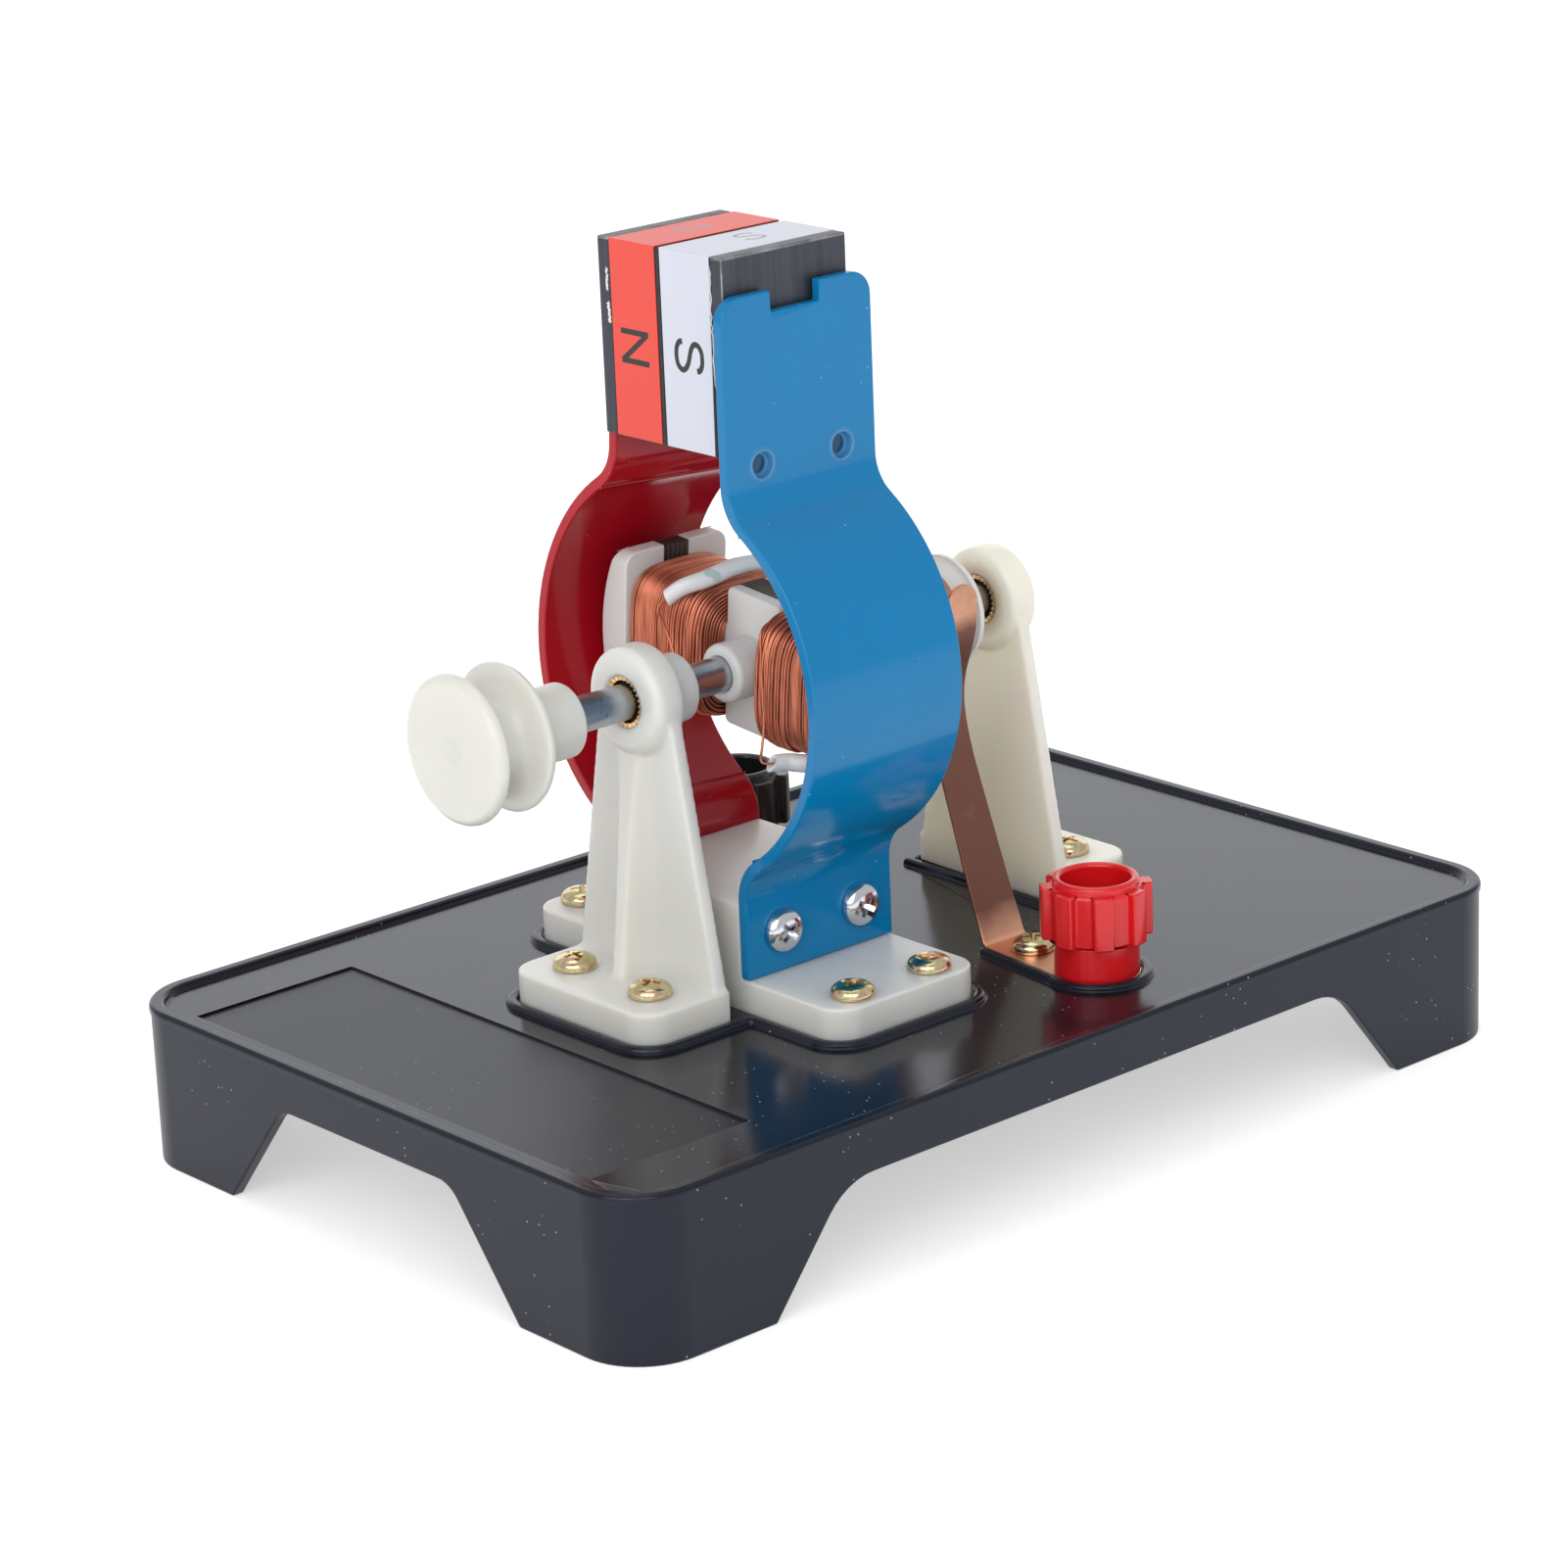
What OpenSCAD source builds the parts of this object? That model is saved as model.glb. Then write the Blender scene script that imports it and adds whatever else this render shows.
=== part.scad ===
// Demonstration electric motor: moulded base, two bearing posts, a magnet stack held
// between two bent pole strips, a two-pole wound armature with a split-ring commutator,
// two leaf brushes and two ribbed terminals.
// Millimetres, +Z up. The shaft runs along X with the pulley at -X. The origin is the
// centre of the base's footprint, on the surface that it stands on.

/* [Base] */
// length over the rim
base_l = 200; // [190:1:220]
// width over the rim
base_w = 132; // [126:1:150]
// height of the rim's top
base_h = 28; // [26:0.5:30]
// wall thickness of the shell
base_wall = 2.6; // [2:0.1:3]
// corner radius in plan
base_r = 12; // [10:0.5:14]
// how far the tray lies below the rim
tray_drop = 1; // [0.6:0.1:1.6]
// width of the rim
rim_w = 2.8; // [2.4:0.1:3.4]
// width of the raised beads round the feet
bead_w = 2; // [1.4:0.1:2.4]
// height of the raised beads over the tray
bead_h = 1.1; // [0.8:0.1:1.4]
// depth of the bare recessed panel at the pulley end
panel_d = 0.4; // [0.2:0.1:0.6]

/* [Shaft line] */
// height of the shaft's axis
axis_h = 79.4; // [79:0.1:80]
// diameter of the shaft
shaft_d = 6; // [5.6:0.1:6]
// running clearance of the shaft in its bushes, on the radius
run_c = 0.05; // [0.03:0.01:0.08]
// end of the shaft inside the pulley
shaft_x0 = -73; // [-74:0.5:-70]
// end of the shaft in the rear head
shaft_x1 = 43.2; // [42:0.1:43.4]

/* [Posts] */
// half length of the foot, across the shaft
foot_y = 17.9; // [17:0.1:19]
// length of the foot along the shaft
foot_x = 18; // [17:0.5:19]
// thickness of every screwed foot
foot_t = 6; // [5:0.5:7]
// inner face of the front post
post_x = -37.5; // [-38:0.1:-37]
// place midway between the two posts
post_mid = 0.45; // [0:0.05:1]
// thickness of the tapered plate
plate_t = 2.6; // [2.4:0.1:3.4]
// thickness of the outer rib
rib_t = 3; // [2.4:0.1:3.6]
// radius of the ring head
head_r = 9; // [8.6:0.1:9.4]
// radius of the pressed-in bush
bush_r = 4.34; // [4.2:0.02:4.6]

/* [Magnet stand and strips] */
// pulley-side face of the stand
stand_x0 = -33; // [-34:0.5:-32]
// width of the stand and of both strips
strip_w = 32; // [31:0.5:32]
// half length over the stand's flanges
stand_y = 39.2; // [38:0.2:40]
// top of the stand's block
block_z = 46; // [45:0.5:47]
// inner face of the strips, from the middle
strip_y = 15.5; // [15.4:0.1:16]
// thickness of the strips
strip_t = 2; // [1.6:0.1:2.2]
// radius of the strips' bow on its middle line
bow_r = 33.3; // [33:0.1:34]
// how far the bow's centre lies from the middle plane
bow_y = 2; // [1.8:0.1:2.6]
// height of the bow's centre
bow_z = 81.2; // [81:0.1:81.6]
// radius of the bend between flat and bow
bend_r = 8; // [7.5:0.5:8.5]
// top of the strips
strip_top = 146; // [144:0.5:148]
// lean of the red strip, screwed on slightly crooked
red_lean = 3.5; // [0:0.5:4]

/* [Magnet stack] */
// pulley-side face of the stack
mag_x0 = -30.4; // [-31:0.1:-30]
// width of the stack along the shaft
mag_w = 26.4; // [26:0.2:27]
// underside of the stack
mag_z0 = 119.6; // [119:0.2:121]
// top of the stack
mag_z1 = 152.2; // [150:0.2:154]
// outer face of the stack, from the middle
mag_y = 15.2; // [15:0.05:15.25]
// thickness of the outer iron plates
mag_plate = 2.3; // [2:0.1:2.6]

/* [Armature] */
// turn of the armature about the shaft as it stands
rotor_turn = 5.5; // [0:0.5:30]
// middle of the armature along the shaft
arm_x = -9.4; // [-9.6:0.1:-9.2]
// radius of the curved shoes
shoe_r = 31.3; // [31:0.1:31.5]
// half length of the shoes along the shaft
shoe_x = 11.2; // [11:0.1:11.4]
// half height of the shoes
shoe_z = 13.5; // [13:0.1:14]
// inner flat of the shoes, from the shaft
shoe_y = 25.2; // [25:0.1:25.6]
// half width of the middle block between the coils
hub_y = 6.5; // [6:0.1:6.8]
// half height of the middle block
hub_z = 12; // [11.5:0.1:12]
// half thickness of core and middle block along the shaft
core_x = 5.1; // [5:0.1:5.3]
// half height of the core inside the coils
core_z = 5.2; // [5:0.1:5.6]
// half thickness of the iron stack
lam_x = 2.6; // [2.2:0.1:2.8]
// radius of the bosses on the shaft
boss_r = 5; // [4.8:0.1:5.2]

/* [Coils] */
// half depth of a coil over its turns
coil_x = 10.1; // [9.9:0.1:10.2]
// half height of a coil over its turns
coil_z = 10.2; // [10:0.1:10.3]
// corner radius of the coils
coil_r = 4.5; // [4:0.1:5]
// turns in the outer layer that shows
loops = 14; // [8:1:14]
// diameter of one turn
wire_d = 0.78; // [0.6:0.02:0.78]
// outer radius of the insulating sleeves
sleeve_r = 1.4; // [1.2:0.05:1.4]
// radius of the sleeves' bore
sleeve_bore = 0.8; // [0.7:0.05:0.85]

/* [Commutator] */
// radius of the copper segments
comm_r = 8.6; // [8.2:0.1:8.8]
// end flange's radius
flange_r = 9.6; // [9.2:0.1:9.8]
// inner end of the segments
comm_x0 = 13.5; // [13:0.5:14]
// outer end of the copper segments
ring_x1 = 25; // [24:0.1:26]
// outer face of the end flange
comm_x1 = 30; // [29.5:0.1:30.2]
// width of the slots between the segments
slot_w = 1.6; // [1.2:0.1:2]

/* [Brushes and terminals] */
// place of both terminals along the shaft
term_x = 19.6; // [19:0.1:20.2]
// distance of the terminals from the middle plane
term_y = 45; // [44.5:0.1:45.5]
// thickness of the copper leaf
leaf_t = 0.6; // [0.4:0.1:0.7]
// gap between a leaf and the commutator
leaf_gap = 0.15; // [0.12:0.01:0.25]
// height of the barrel's rim
knob_top = 44.3; // [44:0.1:45]
// radius of the barrel between its ribs
knob_barrel_r = 7.9; // [7.6:0.1:8.2]
// radius of the ring round the barrel's mouth
knob_ring_r = 7.25; // [7.1:0.05:7.4]
// radius over the ribs
knob_rib_r = 9.35; // [9:0.05:9.6]
// number of ribs on a barrel
knob_ribs = 8; // [6:1:10]
// radius of the barrel's mouth
knob_mouth_r = 5.8; // [5.6:0.05:6]
// diameter of the plug socket
socket_d = 4.1; // [4.1:0.02:4.2]

/* [Pulley] */
// radius of the outer flange
pulley_r = 12.3; // [12:0.1:12.6]
// radius at the bottom of the groove
groove_r = 7; // [6.5:0.1:8]
// radius of the hub
pulley_hub_r = 6.23; // [6:0.05:6.5]

/* [Hidden] */
$fn = 48;
eps = 0.01;
tray_z = base_h - tray_drop;
floor_z = tray_z - base_wall;
foot_z = tray_z + foot_t;
screw_r = 2;
hole_r = screw_r + 0.12;
head_screw_r = 3.75;
head_screw_h = 2.3;
nut_af = 7;
nut_t = 3.2;
screw_end = 19.2;
shaft_r = shaft_d / 2;
stand_x1 = stand_x0 + strip_w;
stand_mid = (stand_x0 + stand_x1) / 2;
strip_pitch = 17;
strip_screw_z = 40.2;
spare_hole_z = 118.4;
spare_hole_r = 2.1;
spare_hole_depth = 1.3;
stand_screw_y = 34.3;
post_screw_x = post_x - 10;
post_screw_y = 9.6;
post_top_z = 77;
head_x0 = post_x - 5;
head_x1 = post_x + 1.25;
head_rim_out = 1.8;
head_rim_in = 1.2;
rib_root = 9.1;
rib_tip = 4.4;
rib_top_z = 70;
rib_fillet = 4;
leaf_foot_y = 22.3;
leaf_bend_r = 1.6;
leaf_foot_w = 9.6;
leaf_tip_w = 6.9;
leaf_step = 4.75;
leaf_top = 86.6;
leaf_pad_r = 7.3;
leaf_foot_end = 24;
leaf_z = tray_z + 0.05;
brush_screw_y = 29.8;
collar_z0 = leaf_z + leaf_t;
collar_z1 = 33.6;
collar_r = 7.15;
knob_z0 = collar_z1 + 0.3;
stud_top = 39;
stud_r = 3;
socket_h = 11;
insert_r = 4.6;
insert_top = 37;
lift_gap = 0.05;

function unit(v) = v / norm(v);

// ---- plan shapes and placing ----

module rounded(l, w, r) {
  square([l - 2 * r, w], center = true);
  square([l, w - 2 * r], center = true);
  for (sx = [-1, 1])
    for (sy = [-1, 1])
      translate([sx * (l / 2 - r), sy * (w / 2 - r)])
        circle(r = r);
}

module block(lo, hi) {
  translate(lo)
    cube(hi - lo);
}

// an extrusion along X of a shape drawn in Y (across) and Z (up)
module along_x(x0, x1) {
  translate([x0, 0, 0])
    rotate([90, 0, 90])
      linear_extrude(x1 - x0)
        children();
}

module rod_x(x0, x1, r) {
  translate([x0, 0, 0])
    rotate([0, 90, 0])
      cylinder(r = r, h = x1 - x0);
}

// points of a round in a turned profile: centre, radius, first angle, turn and steps
function round_pts(c, r, a0, turn, n = 5) =
  [for (i = [0:n]) c + r * [cos(a0 + turn * i / n), sin(a0 + turn * i / n)]];

// a disc on the shaft line with both rims rounded
module round_disc(x0, x1, r, round0, round1) {
  rotate([0, 90, 0])
    rotate_extrude($fn = 96)
      polygon(concat(
        [[0, x0]],
        round_pts([r - round0, x0 + round0], round0, -90, 90),
        round_pts([r - round1, x1 - round1], round1, 0, 90),
        [[0, x1]]
      ));
}

module on_axis() {
  translate([0, 0, axis_h])
    children();
}

module on_rotor() {
  on_axis()
    rotate([rotor_turn, 0, 0])
      children();
}

module both_sides() {
  children();
  mirror([0, 1, 0])
    children();
}

// the rear post is the front post's mirror image
module at_rear() {
  translate([2 * post_mid, 0, 0])
    mirror([1, 0, 0])
      children();
}

// a foot's plan from its two ends, with the far corners rounded
module foot_plan(x0, x1, y, r, grow = 0) {
  translate([(x0 + x1) / 2, 0])
    rounded(x1 - x0 + 2 * grow, 2 * y + 2 * grow, r + grow);
}

// ---- fasteners, each with its head on z = 0 and its shank below ----

module pan_screw(length) {
  cap_r = (head_screw_r * head_screw_r + pow(head_screw_h - 0.5, 2)) / (2 * (head_screw_h - 0.5));
  translate([0, 0, -length])
    cylinder(r = screw_r, h = length + eps);
  intersection() {
    cylinder(r = head_screw_r, h = head_screw_h);
    translate([0, 0, head_screw_h - cap_r])
      sphere(r = cap_r);
  }
}

module hex_nut(af, t, bore_r) {
  difference() {
    cylinder(r = af / sqrt(3), h = t, $fn = 6);
    translate([0, 0, -1])
      cylinder(r = bore_r, h = t + 2);
  }
}

module post_spots() {
  for (sy = [-1, 1]) {
    translate([post_screw_x, sy * post_screw_y, 0])
      children();
    translate([2 * post_mid - post_screw_x, sy * post_screw_y, 0])
      children();
  }
}

module stand_spots() {
  for (sy = [-1, 1])
    for (sx = [-1, 1])
      translate([stand_mid + sx * strip_pitch / 2, sy * stand_screw_y, 0])
        children();
}

module brush_spots() {
  for (sy = [-1, 1])
    translate([term_x, sy * brush_screw_y, 0])
      children();
}

module terminal_spots() {
  for (sy = [-1, 1])
    translate([term_x, sy * term_y, 0])
      children();
}

// ---- base ----

// an arch: a flat top, rounded shoulders and straight slopes down to the feet
module arch(half_foot, half_top, top, r) {
  slope = atan2(top, half_foot - half_top);
  cut = r * tan(slope / 2);
  steps = 6;
  shoulder = [for (i = [0:steps])
    let (a = 90 - slope * i / steps)
    [half_top - cut + r * cos(a), top - r + r * sin(a)]];
  low = [half_foot + (half_foot - half_top) / top, -1];
  polygon(concat(
    shoulder,
    [low, [-low[0], low[1]]],
    [for (i = [steps:-1:0]) [-shoulder[i][0], shoulder[i][1]]]
  ));
}

// rounded at the outer end only
module post_foot_plan(grow = 0) {
  x0 = post_x - foot_x - grow;
  y = foot_y + grow;
  r = 5 + grow;
  translate([x0 + r, -y])
    square([foot_x + 2 * grow - r, 2 * y]);
  translate([x0, -y + r])
    square([r + 1, 2 * (y - r)]);
  for (sy = [-1, 1])
    translate([x0 + r, sy * (y - r)])
      circle(r = r);
}

module stand_foot_plan(grow = 0) {
  foot_plan(stand_x0, stand_x1, stand_y, 5, grow);
}

// a circle round the terminal that tapers to a straight end under the leaf's bend
module terminal_plan(r, w, end) {
  d = term_y - end;
  inside = r - 0.3;
  translate([term_x, -term_y]) {
    circle(r = r);
    polygon([[inside, 0], [w, d], [-w, d], [-inside, 0]]);
  }
}

module foot_beads() {
  linear_extrude(bead_h + 1) {
    difference() {
      union() {
        post_foot_plan(bead_w + 0.4);
        stand_foot_plan(bead_w + 0.4);
      }
      post_foot_plan(0.3);
      stand_foot_plan(0.3);
    }
    difference() {
      at_rear()
        post_foot_plan(bead_w + 0.3);
      at_rear()
        post_foot_plan(0.3);
    }
    both_sides()
      difference() {
        terminal_plan(leaf_pad_r + 0.1 + bead_w, leaf_foot_w / 2 + 0.1 + bead_w, leaf_foot_end - 0.5);
        terminal_plan(leaf_pad_r + 0.1, leaf_foot_w / 2 + 0.1, leaf_foot_end - 0.5);
      }
  }
}

module base() {
  groove_z = base_h - 1.5;
  color([0.06, 0.065, 0.075])
    difference() {
      union() {
        difference() {
          union() {
            linear_extrude(groove_z)
              rounded(base_l - 0.6, base_w - 0.6, base_r - 0.3);
            translate([0, 0, groove_z])
              linear_extrude(base_h - groove_z)
                rounded(base_l, base_w, base_r);
          }
          translate([0, 0, -1])
            linear_extrude(floor_z + 1)
              rounded(base_l - 2 * base_wall, base_w - 2 * base_wall, base_r - base_wall);
          translate([0, 0, tray_z])
            linear_extrude(tray_drop + 1)
              rounded(base_l - 2 * rim_w, base_w - 2 * rim_w, base_r - rim_w);
          along_x(-base_l, base_l)
            arch(37.7, 22, 19.4, 6);
          rotate([0, 0, 90])
            along_x(-base_w, base_w)
              arch(71.4, 56.2, 18.8, 12);
        }
        translate([0, 0, tray_z - 1])
          foot_beads();
      }
      block([-95, -51, tray_z - panel_d], [-63, 51, tray_z + 1]);
      post_spots()
        translate([0, 0, floor_z - 1])
          cylinder(r = hole_r, h = base_h);
      stand_spots()
        translate([0, 0, floor_z - 1])
          cylinder(r = hole_r, h = base_h);
      brush_spots()
        translate([0, 0, floor_z - 1])
          cylinder(r = hole_r, h = base_h);
      terminal_spots()
        translate([0, 0, floor_z - 1])
          cylinder(r = stud_r + 0.1, h = base_h);
    }
}

// ---- bearing posts ----

module post() {
  difference() {
    union() {
      translate([0, 0, tray_z])
        linear_extrude(foot_t)
          post_foot_plan();
      // tapered plate
      along_x(post_x - plate_t, post_x)
        polygon([
          [-foot_y + 0.5, foot_z - 1],
          [foot_y - 0.5, foot_z - 1],
          [head_r - 0.05, post_top_z],
          [-head_r + 0.05, post_top_z]
        ]);
      rib_slab(rib_t);
      // broad fillets between rib and plate
      intersection() {
        rib_slab(rib_t + 2 * rib_fillet);
        translate([post_x - plate_t, 0, foot_z - 0.5])
          linear_extrude(42)
            difference() {
              translate([-rib_fillet, -rib_t / 2 - rib_fillet])
                square([rib_fillet + 1, rib_t + 2 * rib_fillet]);
              for (sy = [-1, 1])
                translate([-rib_fillet, sy * (rib_t / 2 + rib_fillet)])
                  circle(r = rib_fillet);
            }
      }
      on_axis()
        round_disc(head_x0, head_x1, head_r, head_rim_out, head_rim_in);
    }
    on_axis()
      rod_x(post_x - 6, post_x + 2, bush_r);
    for (sy = [-1, 1])
      translate([post_screw_x, sy * post_screw_y, tray_z - 1])
        cylinder(r = hole_r, h = foot_t + 2);
  }
}

// the rib's side view, as a slab of a given thickness: it runs out towards the head
module rib_slab(t) {
  translate([0, t / 2, 0])
    rotate([90, 0, 0])
      linear_extrude(t)
        polygon([
          [post_x - 1, foot_z - 1],
          [post_x - rib_root, foot_z - 1],
          [post_x - rib_root, foot_z],
          [post_x - rib_tip, rib_top_z],
          [post_x - 1, rib_top_z + 6]
        ]);
}

module front_post() {
  color([0.93, 0.92, 0.85])
    post();
}

module rear_post() {
  color([0.93, 0.92, 0.85])
    at_rear()
      post();
}

module bush() {
  on_axis()
    difference() {
      rod_x(head_x0 + 0.6, head_x1 - 0.15, bush_r);
      rod_x(post_x - 6, post_x + 2, shaft_r + run_c);
    }
}

module front_bush() {
  color([0.62, 0.46, 0.24])
    bush();
}

module rear_bush() {
  color([0.62, 0.46, 0.24])
    at_rear()
      bush();
}

// ---- magnet stand and pole strips ----

module strip_screw_spots(side) {
  lean_about_foot(side)
    for (sx = [-1, 1])
      translate([stand_mid + sx * strip_pitch / 2, side * (strip_y + strip_t), strip_screw_z])
        rotate([-90 * side, 0, 0])
          children();
}

// the red strip stands slightly out of square, about its screws
module lean_about_foot(side) {
  lean = side > 0 ? red_lean : 0;
  translate([stand_mid, 0, strip_screw_z])
    rotate([0, lean, 0])
      translate([-stand_mid, 0, -strip_screw_z])
        children();
}

module magnet_stand() {
  color([0.93, 0.92, 0.85])
    difference() {
      union() {
        translate([0, 0, tray_z])
          linear_extrude(foot_t)
            stand_foot_plan();
        block([stand_x0, -strip_y, tray_z], [stand_x1, strip_y, block_z]);
      }
      for (side = [-1, 1])
        strip_screw_spots(side)
          translate([0, 0, -10])
            cylinder(r = hole_r, h = 12);
      stand_spots()
        translate([0, 0, tray_z - 1])
          cylinder(r = hole_r, h = foot_t + 2);
    }
}

// the strip's side view: flat, bend, bow, bend, flat
module strip_profile(bottom) {
  inner_flat = strip_y + strip_t / 2;
  bend_y = inner_flat + bend_r;
  reach = bow_r + bend_r;
  bend_dz = sqrt(reach * reach - pow(bend_y - bow_y, 2));
  bow_a = atan2(bend_dz, bend_y - bow_y);
  lap = 0.3;
  translate([strip_y, bottom])
    square([strip_t, bow_z - bend_dz - bottom]);
  translate([strip_y, bow_z + bend_dz])
    square([strip_t, strip_top - bow_z - bend_dz]);
  translate([bow_y, bow_z])
    ring_part(bow_r, -bow_a - lap, bow_a + lap);
  translate([bend_y, bow_z + bend_dz])
    ring_part(bend_r, 180 - lap, 180 + bow_a + lap);
  translate([bend_y, bow_z - bend_dz])
    ring_part(bend_r, 180 - bow_a - lap, 180 + lap);
}

module ring_part(r, a0, a1) {
  far = 2 * r + 10;
  mid = (a0 + a1) / 2;
  intersection() {
    difference() {
      circle(r = r + strip_t / 2, $fn = 180);
      circle(r = r - strip_t / 2, $fn = 180);
    }
    polygon([
      [0, 0],
      [far * cos(a0), far * sin(a0)],
      [far * cos(mid), far * sin(mid)],
      [far * cos(a1), far * sin(a1)]
    ]);
  }
}

module pole_strip(bottom) {
  notch_w = 10.4;
  notch_h = 3.4;
  top_r = 4;
  difference() {
    along_x(stand_x0, stand_x1)
      strip_profile(bottom);
    block(
      [stand_mid - notch_w / 2 - 0.2, 0, strip_top - notch_h],
      [stand_mid + notch_w / 2 - 0.2, 60, strip_top + 1]
    );
    // rounded top corners
    for (sx = [-1, 1])
      translate([stand_mid + sx * (strip_w / 2 - top_r), 0, strip_top - top_r])
        difference() {
          block([sx > 0 ? 0 : -top_r - 1, 0, 0], [sx > 0 ? top_r + 1 : 0, 60, top_r + 1]);
          rotate([-90, 0, 0])
            translate([0, 0, -1])
              cylinder(r = top_r, h = 70);
        }
    for (sx = [-1, 1])
      translate([stand_mid + sx * strip_pitch / 2, 0, 0]) {
        // blind: it does not go through
        translate([0, strip_y + strip_t - spare_hole_depth, spare_hole_z])
          rotate([-90, 0, 0])
            cylinder(r = spare_hole_r, h = 30);
        translate([0, 0, strip_screw_z])
          rotate([-90, 0, 0])
            cylinder(r = hole_r, h = 30);
      }
  }
}

module blue_pole_strip() {
  color([0.1, 0.5, 0.76])
    mirror([0, 1, 0])
      pole_strip(foot_z + 0.1);
}

module red_pole_strip() {
  color([0.72, 0.08, 0.13])
    lean_about_foot(1)
      pole_strip(foot_z + 1.2);
}

module strip_screws() {
  color([0.8, 0.81, 0.83])
    for (side = [-1, 1])
      strip_screw_spots(side)
        pan_screw(9.5);
}

module stand_screws() {
  color([0.78, 0.68, 0.42])
    stand_spots()
      translate([0, 0, foot_z])
        pan_screw(foot_z - screw_end);
}

module post_screws() {
  color([0.78, 0.68, 0.42])
    post_spots()
      translate([0, 0, foot_z])
        pan_screw(foot_z - screw_end);
}

module brush_screws() {
  color([0.78, 0.68, 0.42])
    brush_spots()
      translate([0, 0, collar_z0])
        pan_screw(collar_z0 - screw_end);
}

module base_nuts() {
  color([0.75, 0.72, 0.6])
    translate([0, 0, floor_z - nut_t]) {
      post_spots()
        hex_nut(nut_af, nut_t, screw_r);
      stand_spots()
        hex_nut(nut_af, nut_t, screw_r);
      brush_spots()
        hex_nut(nut_af, nut_t, screw_r);
    }
}

// ---- magnet stack ----

module stack_slab(y0, y1, drop = 0) {
  block([mag_x0, y0, mag_z0], [mag_x0 + mag_w, y1, mag_z1 - drop]);
}

module magnet_n() {
  color([0.13, 0.13, 0.14])
    stack_slab(0.1, mag_y - mag_plate - 0.5, 0.3);
}

module magnet_s() {
  color([0.13, 0.13, 0.14])
    stack_slab(-mag_y + mag_plate + 0.5, -0.1, 0.3);
}

module outer_plate_n() {
  color([0.2, 0.2, 0.21])
    stack_slab(mag_y - mag_plate - 0.48, mag_y, 0.6);
}

module outer_plate_s() {
  color([0.2, 0.2, 0.21])
    stack_slab(-mag_y, -mag_y + mag_plate + 0.48, 0.6);
}

// film folded over both ends and the top of a magnet
module label(y0, y1) {
  film = 0.2;
  difference() {
    block([mag_x0 - film, y0, mag_z0 + 0.2], [mag_x0 + mag_w + film, y1, mag_z1 - 0.3 + film]);
    block([mag_x0, y0 - 1, mag_z0 - 1], [mag_x0 + mag_w, y1 + 1, mag_z1 - 0.3]);
  }
}

module label_n() {
  color([0.95, 0.33, 0.24])
    label(0.7, 12);
}

module label_s() {
  color([0.84, 0.85, 0.9])
    label(-12, -0.2);
}

// ---- shaft, pulley, collar ----

module shaft() {
  color([0.72, 0.75, 0.78])
    on_axis()
      rod_x(shaft_x0, shaft_x1, shaft_r);
}

module pulley() {
  lip = 0.9;
  rim_r = 1.6;
  inner_rim_r = 1.2;
  inner_r = pulley_r - 0.1;
  hub_rim_r = 0.7;
  x0 = -77.5;
  x1 = -65.5;
  hub_x1 = -54.5;
  dimple_r = 8;
  flange = 2.5;
  groove_x0 = x0 + flange;
  groove_x1 = -67.5;
  groove_half = (groove_x1 - groove_x0) / 2;
  groove_mid = (groove_x0 + groove_x1) / 2;
  arc = [for (i = [0:12])
    let (a = 180 * i / 12)
    [pulley_r - lip - (pulley_r - lip - groove_r) * sin(a), groove_mid - groove_half * cos(a)]];
  color([0.94, 0.94, 0.86])
    on_axis()
      rotate([0, 90, 0])
        difference() {
          rotate_extrude($fn = 96)
            polygon(concat(
              [[0, x0]],
              round_pts([pulley_r - rim_r, x0 + rim_r], rim_r, -90, 90),
              [[pulley_r, groove_x0 - 0.4]],
              arc,
              [[inner_r, groove_x1 + 0.4]],
              round_pts([inner_r - inner_rim_r, x1 - inner_rim_r], inner_rim_r, 0, 90),
              round_pts([pulley_hub_r + 1, x1 + 1], 1, -90, -90),
              round_pts([pulley_hub_r - hub_rim_r, hub_x1 - hub_rim_r], hub_rim_r, 0, 90),
              [[0, hub_x1]]
            ));
          translate([0, 0, shaft_x0])
            cylinder(r = shaft_r, h = 30);
          // shallow dimple in the outer face
          translate([0, 0, x0 - dimple_r + 0.45])
            sphere(r = dimple_r, $fn = 96);
        }
}

module shaft_collar() {
  color([0.93, 0.92, 0.86])
    on_axis()
      difference() {
        rod_x(-36, -30.75, 5.76);
        rod_x(-38, -29, shaft_r);
      }
}

// ---- armature ----

// one shoe's end view: a segment of the round, flat inside
module shoe_profile(shrink = 0) {
  intersection() {
    circle(r = shoe_r - shrink, $fn = 180);
    translate([shoe_y, -shoe_z + shrink])
      square([shoe_r, 2 * (shoe_z - shrink)]);
  }
}

// seen along Y every shoe has rounded corners
module shoe_window() {
  rotate([90, 0, 0])
    translate([arm_x, 0, -shoe_r - 5])
      linear_extrude(2 * shoe_r + 10)
        rounded(2 * shoe_x, 2 * shoe_z, 2.5);
}

// the moulded half on one side of the iron: side -1 faces the pulley
module armature_half(side) {
  inner = arm_x + side * lam_x;
  core_end = arm_x + side * core_x;
  boss_end = arm_x + side * 12.1;
  shoe_end = arm_x + side * shoe_x;
  difference() {
    union() {
      intersection() {
        along_x(min(inner, shoe_end), max(inner, shoe_end)) {
          shoe_profile();
          mirror([1, 0])
            shoe_profile();
        }
        shoe_window();
      }
      along_x(min(inner, core_end), max(inner, core_end)) {
        square([2 * shoe_y + 0.4, 2 * core_z], center = true);
        rounded(2 * hub_y, 2 * hub_z, 1.2);
      }
      rod_x(min(core_end, boss_end) - eps, max(core_end, boss_end) + eps, boss_r);
    }
    rod_x(arm_x - 20, arm_x + 20, shaft_r);
  }
}

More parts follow.
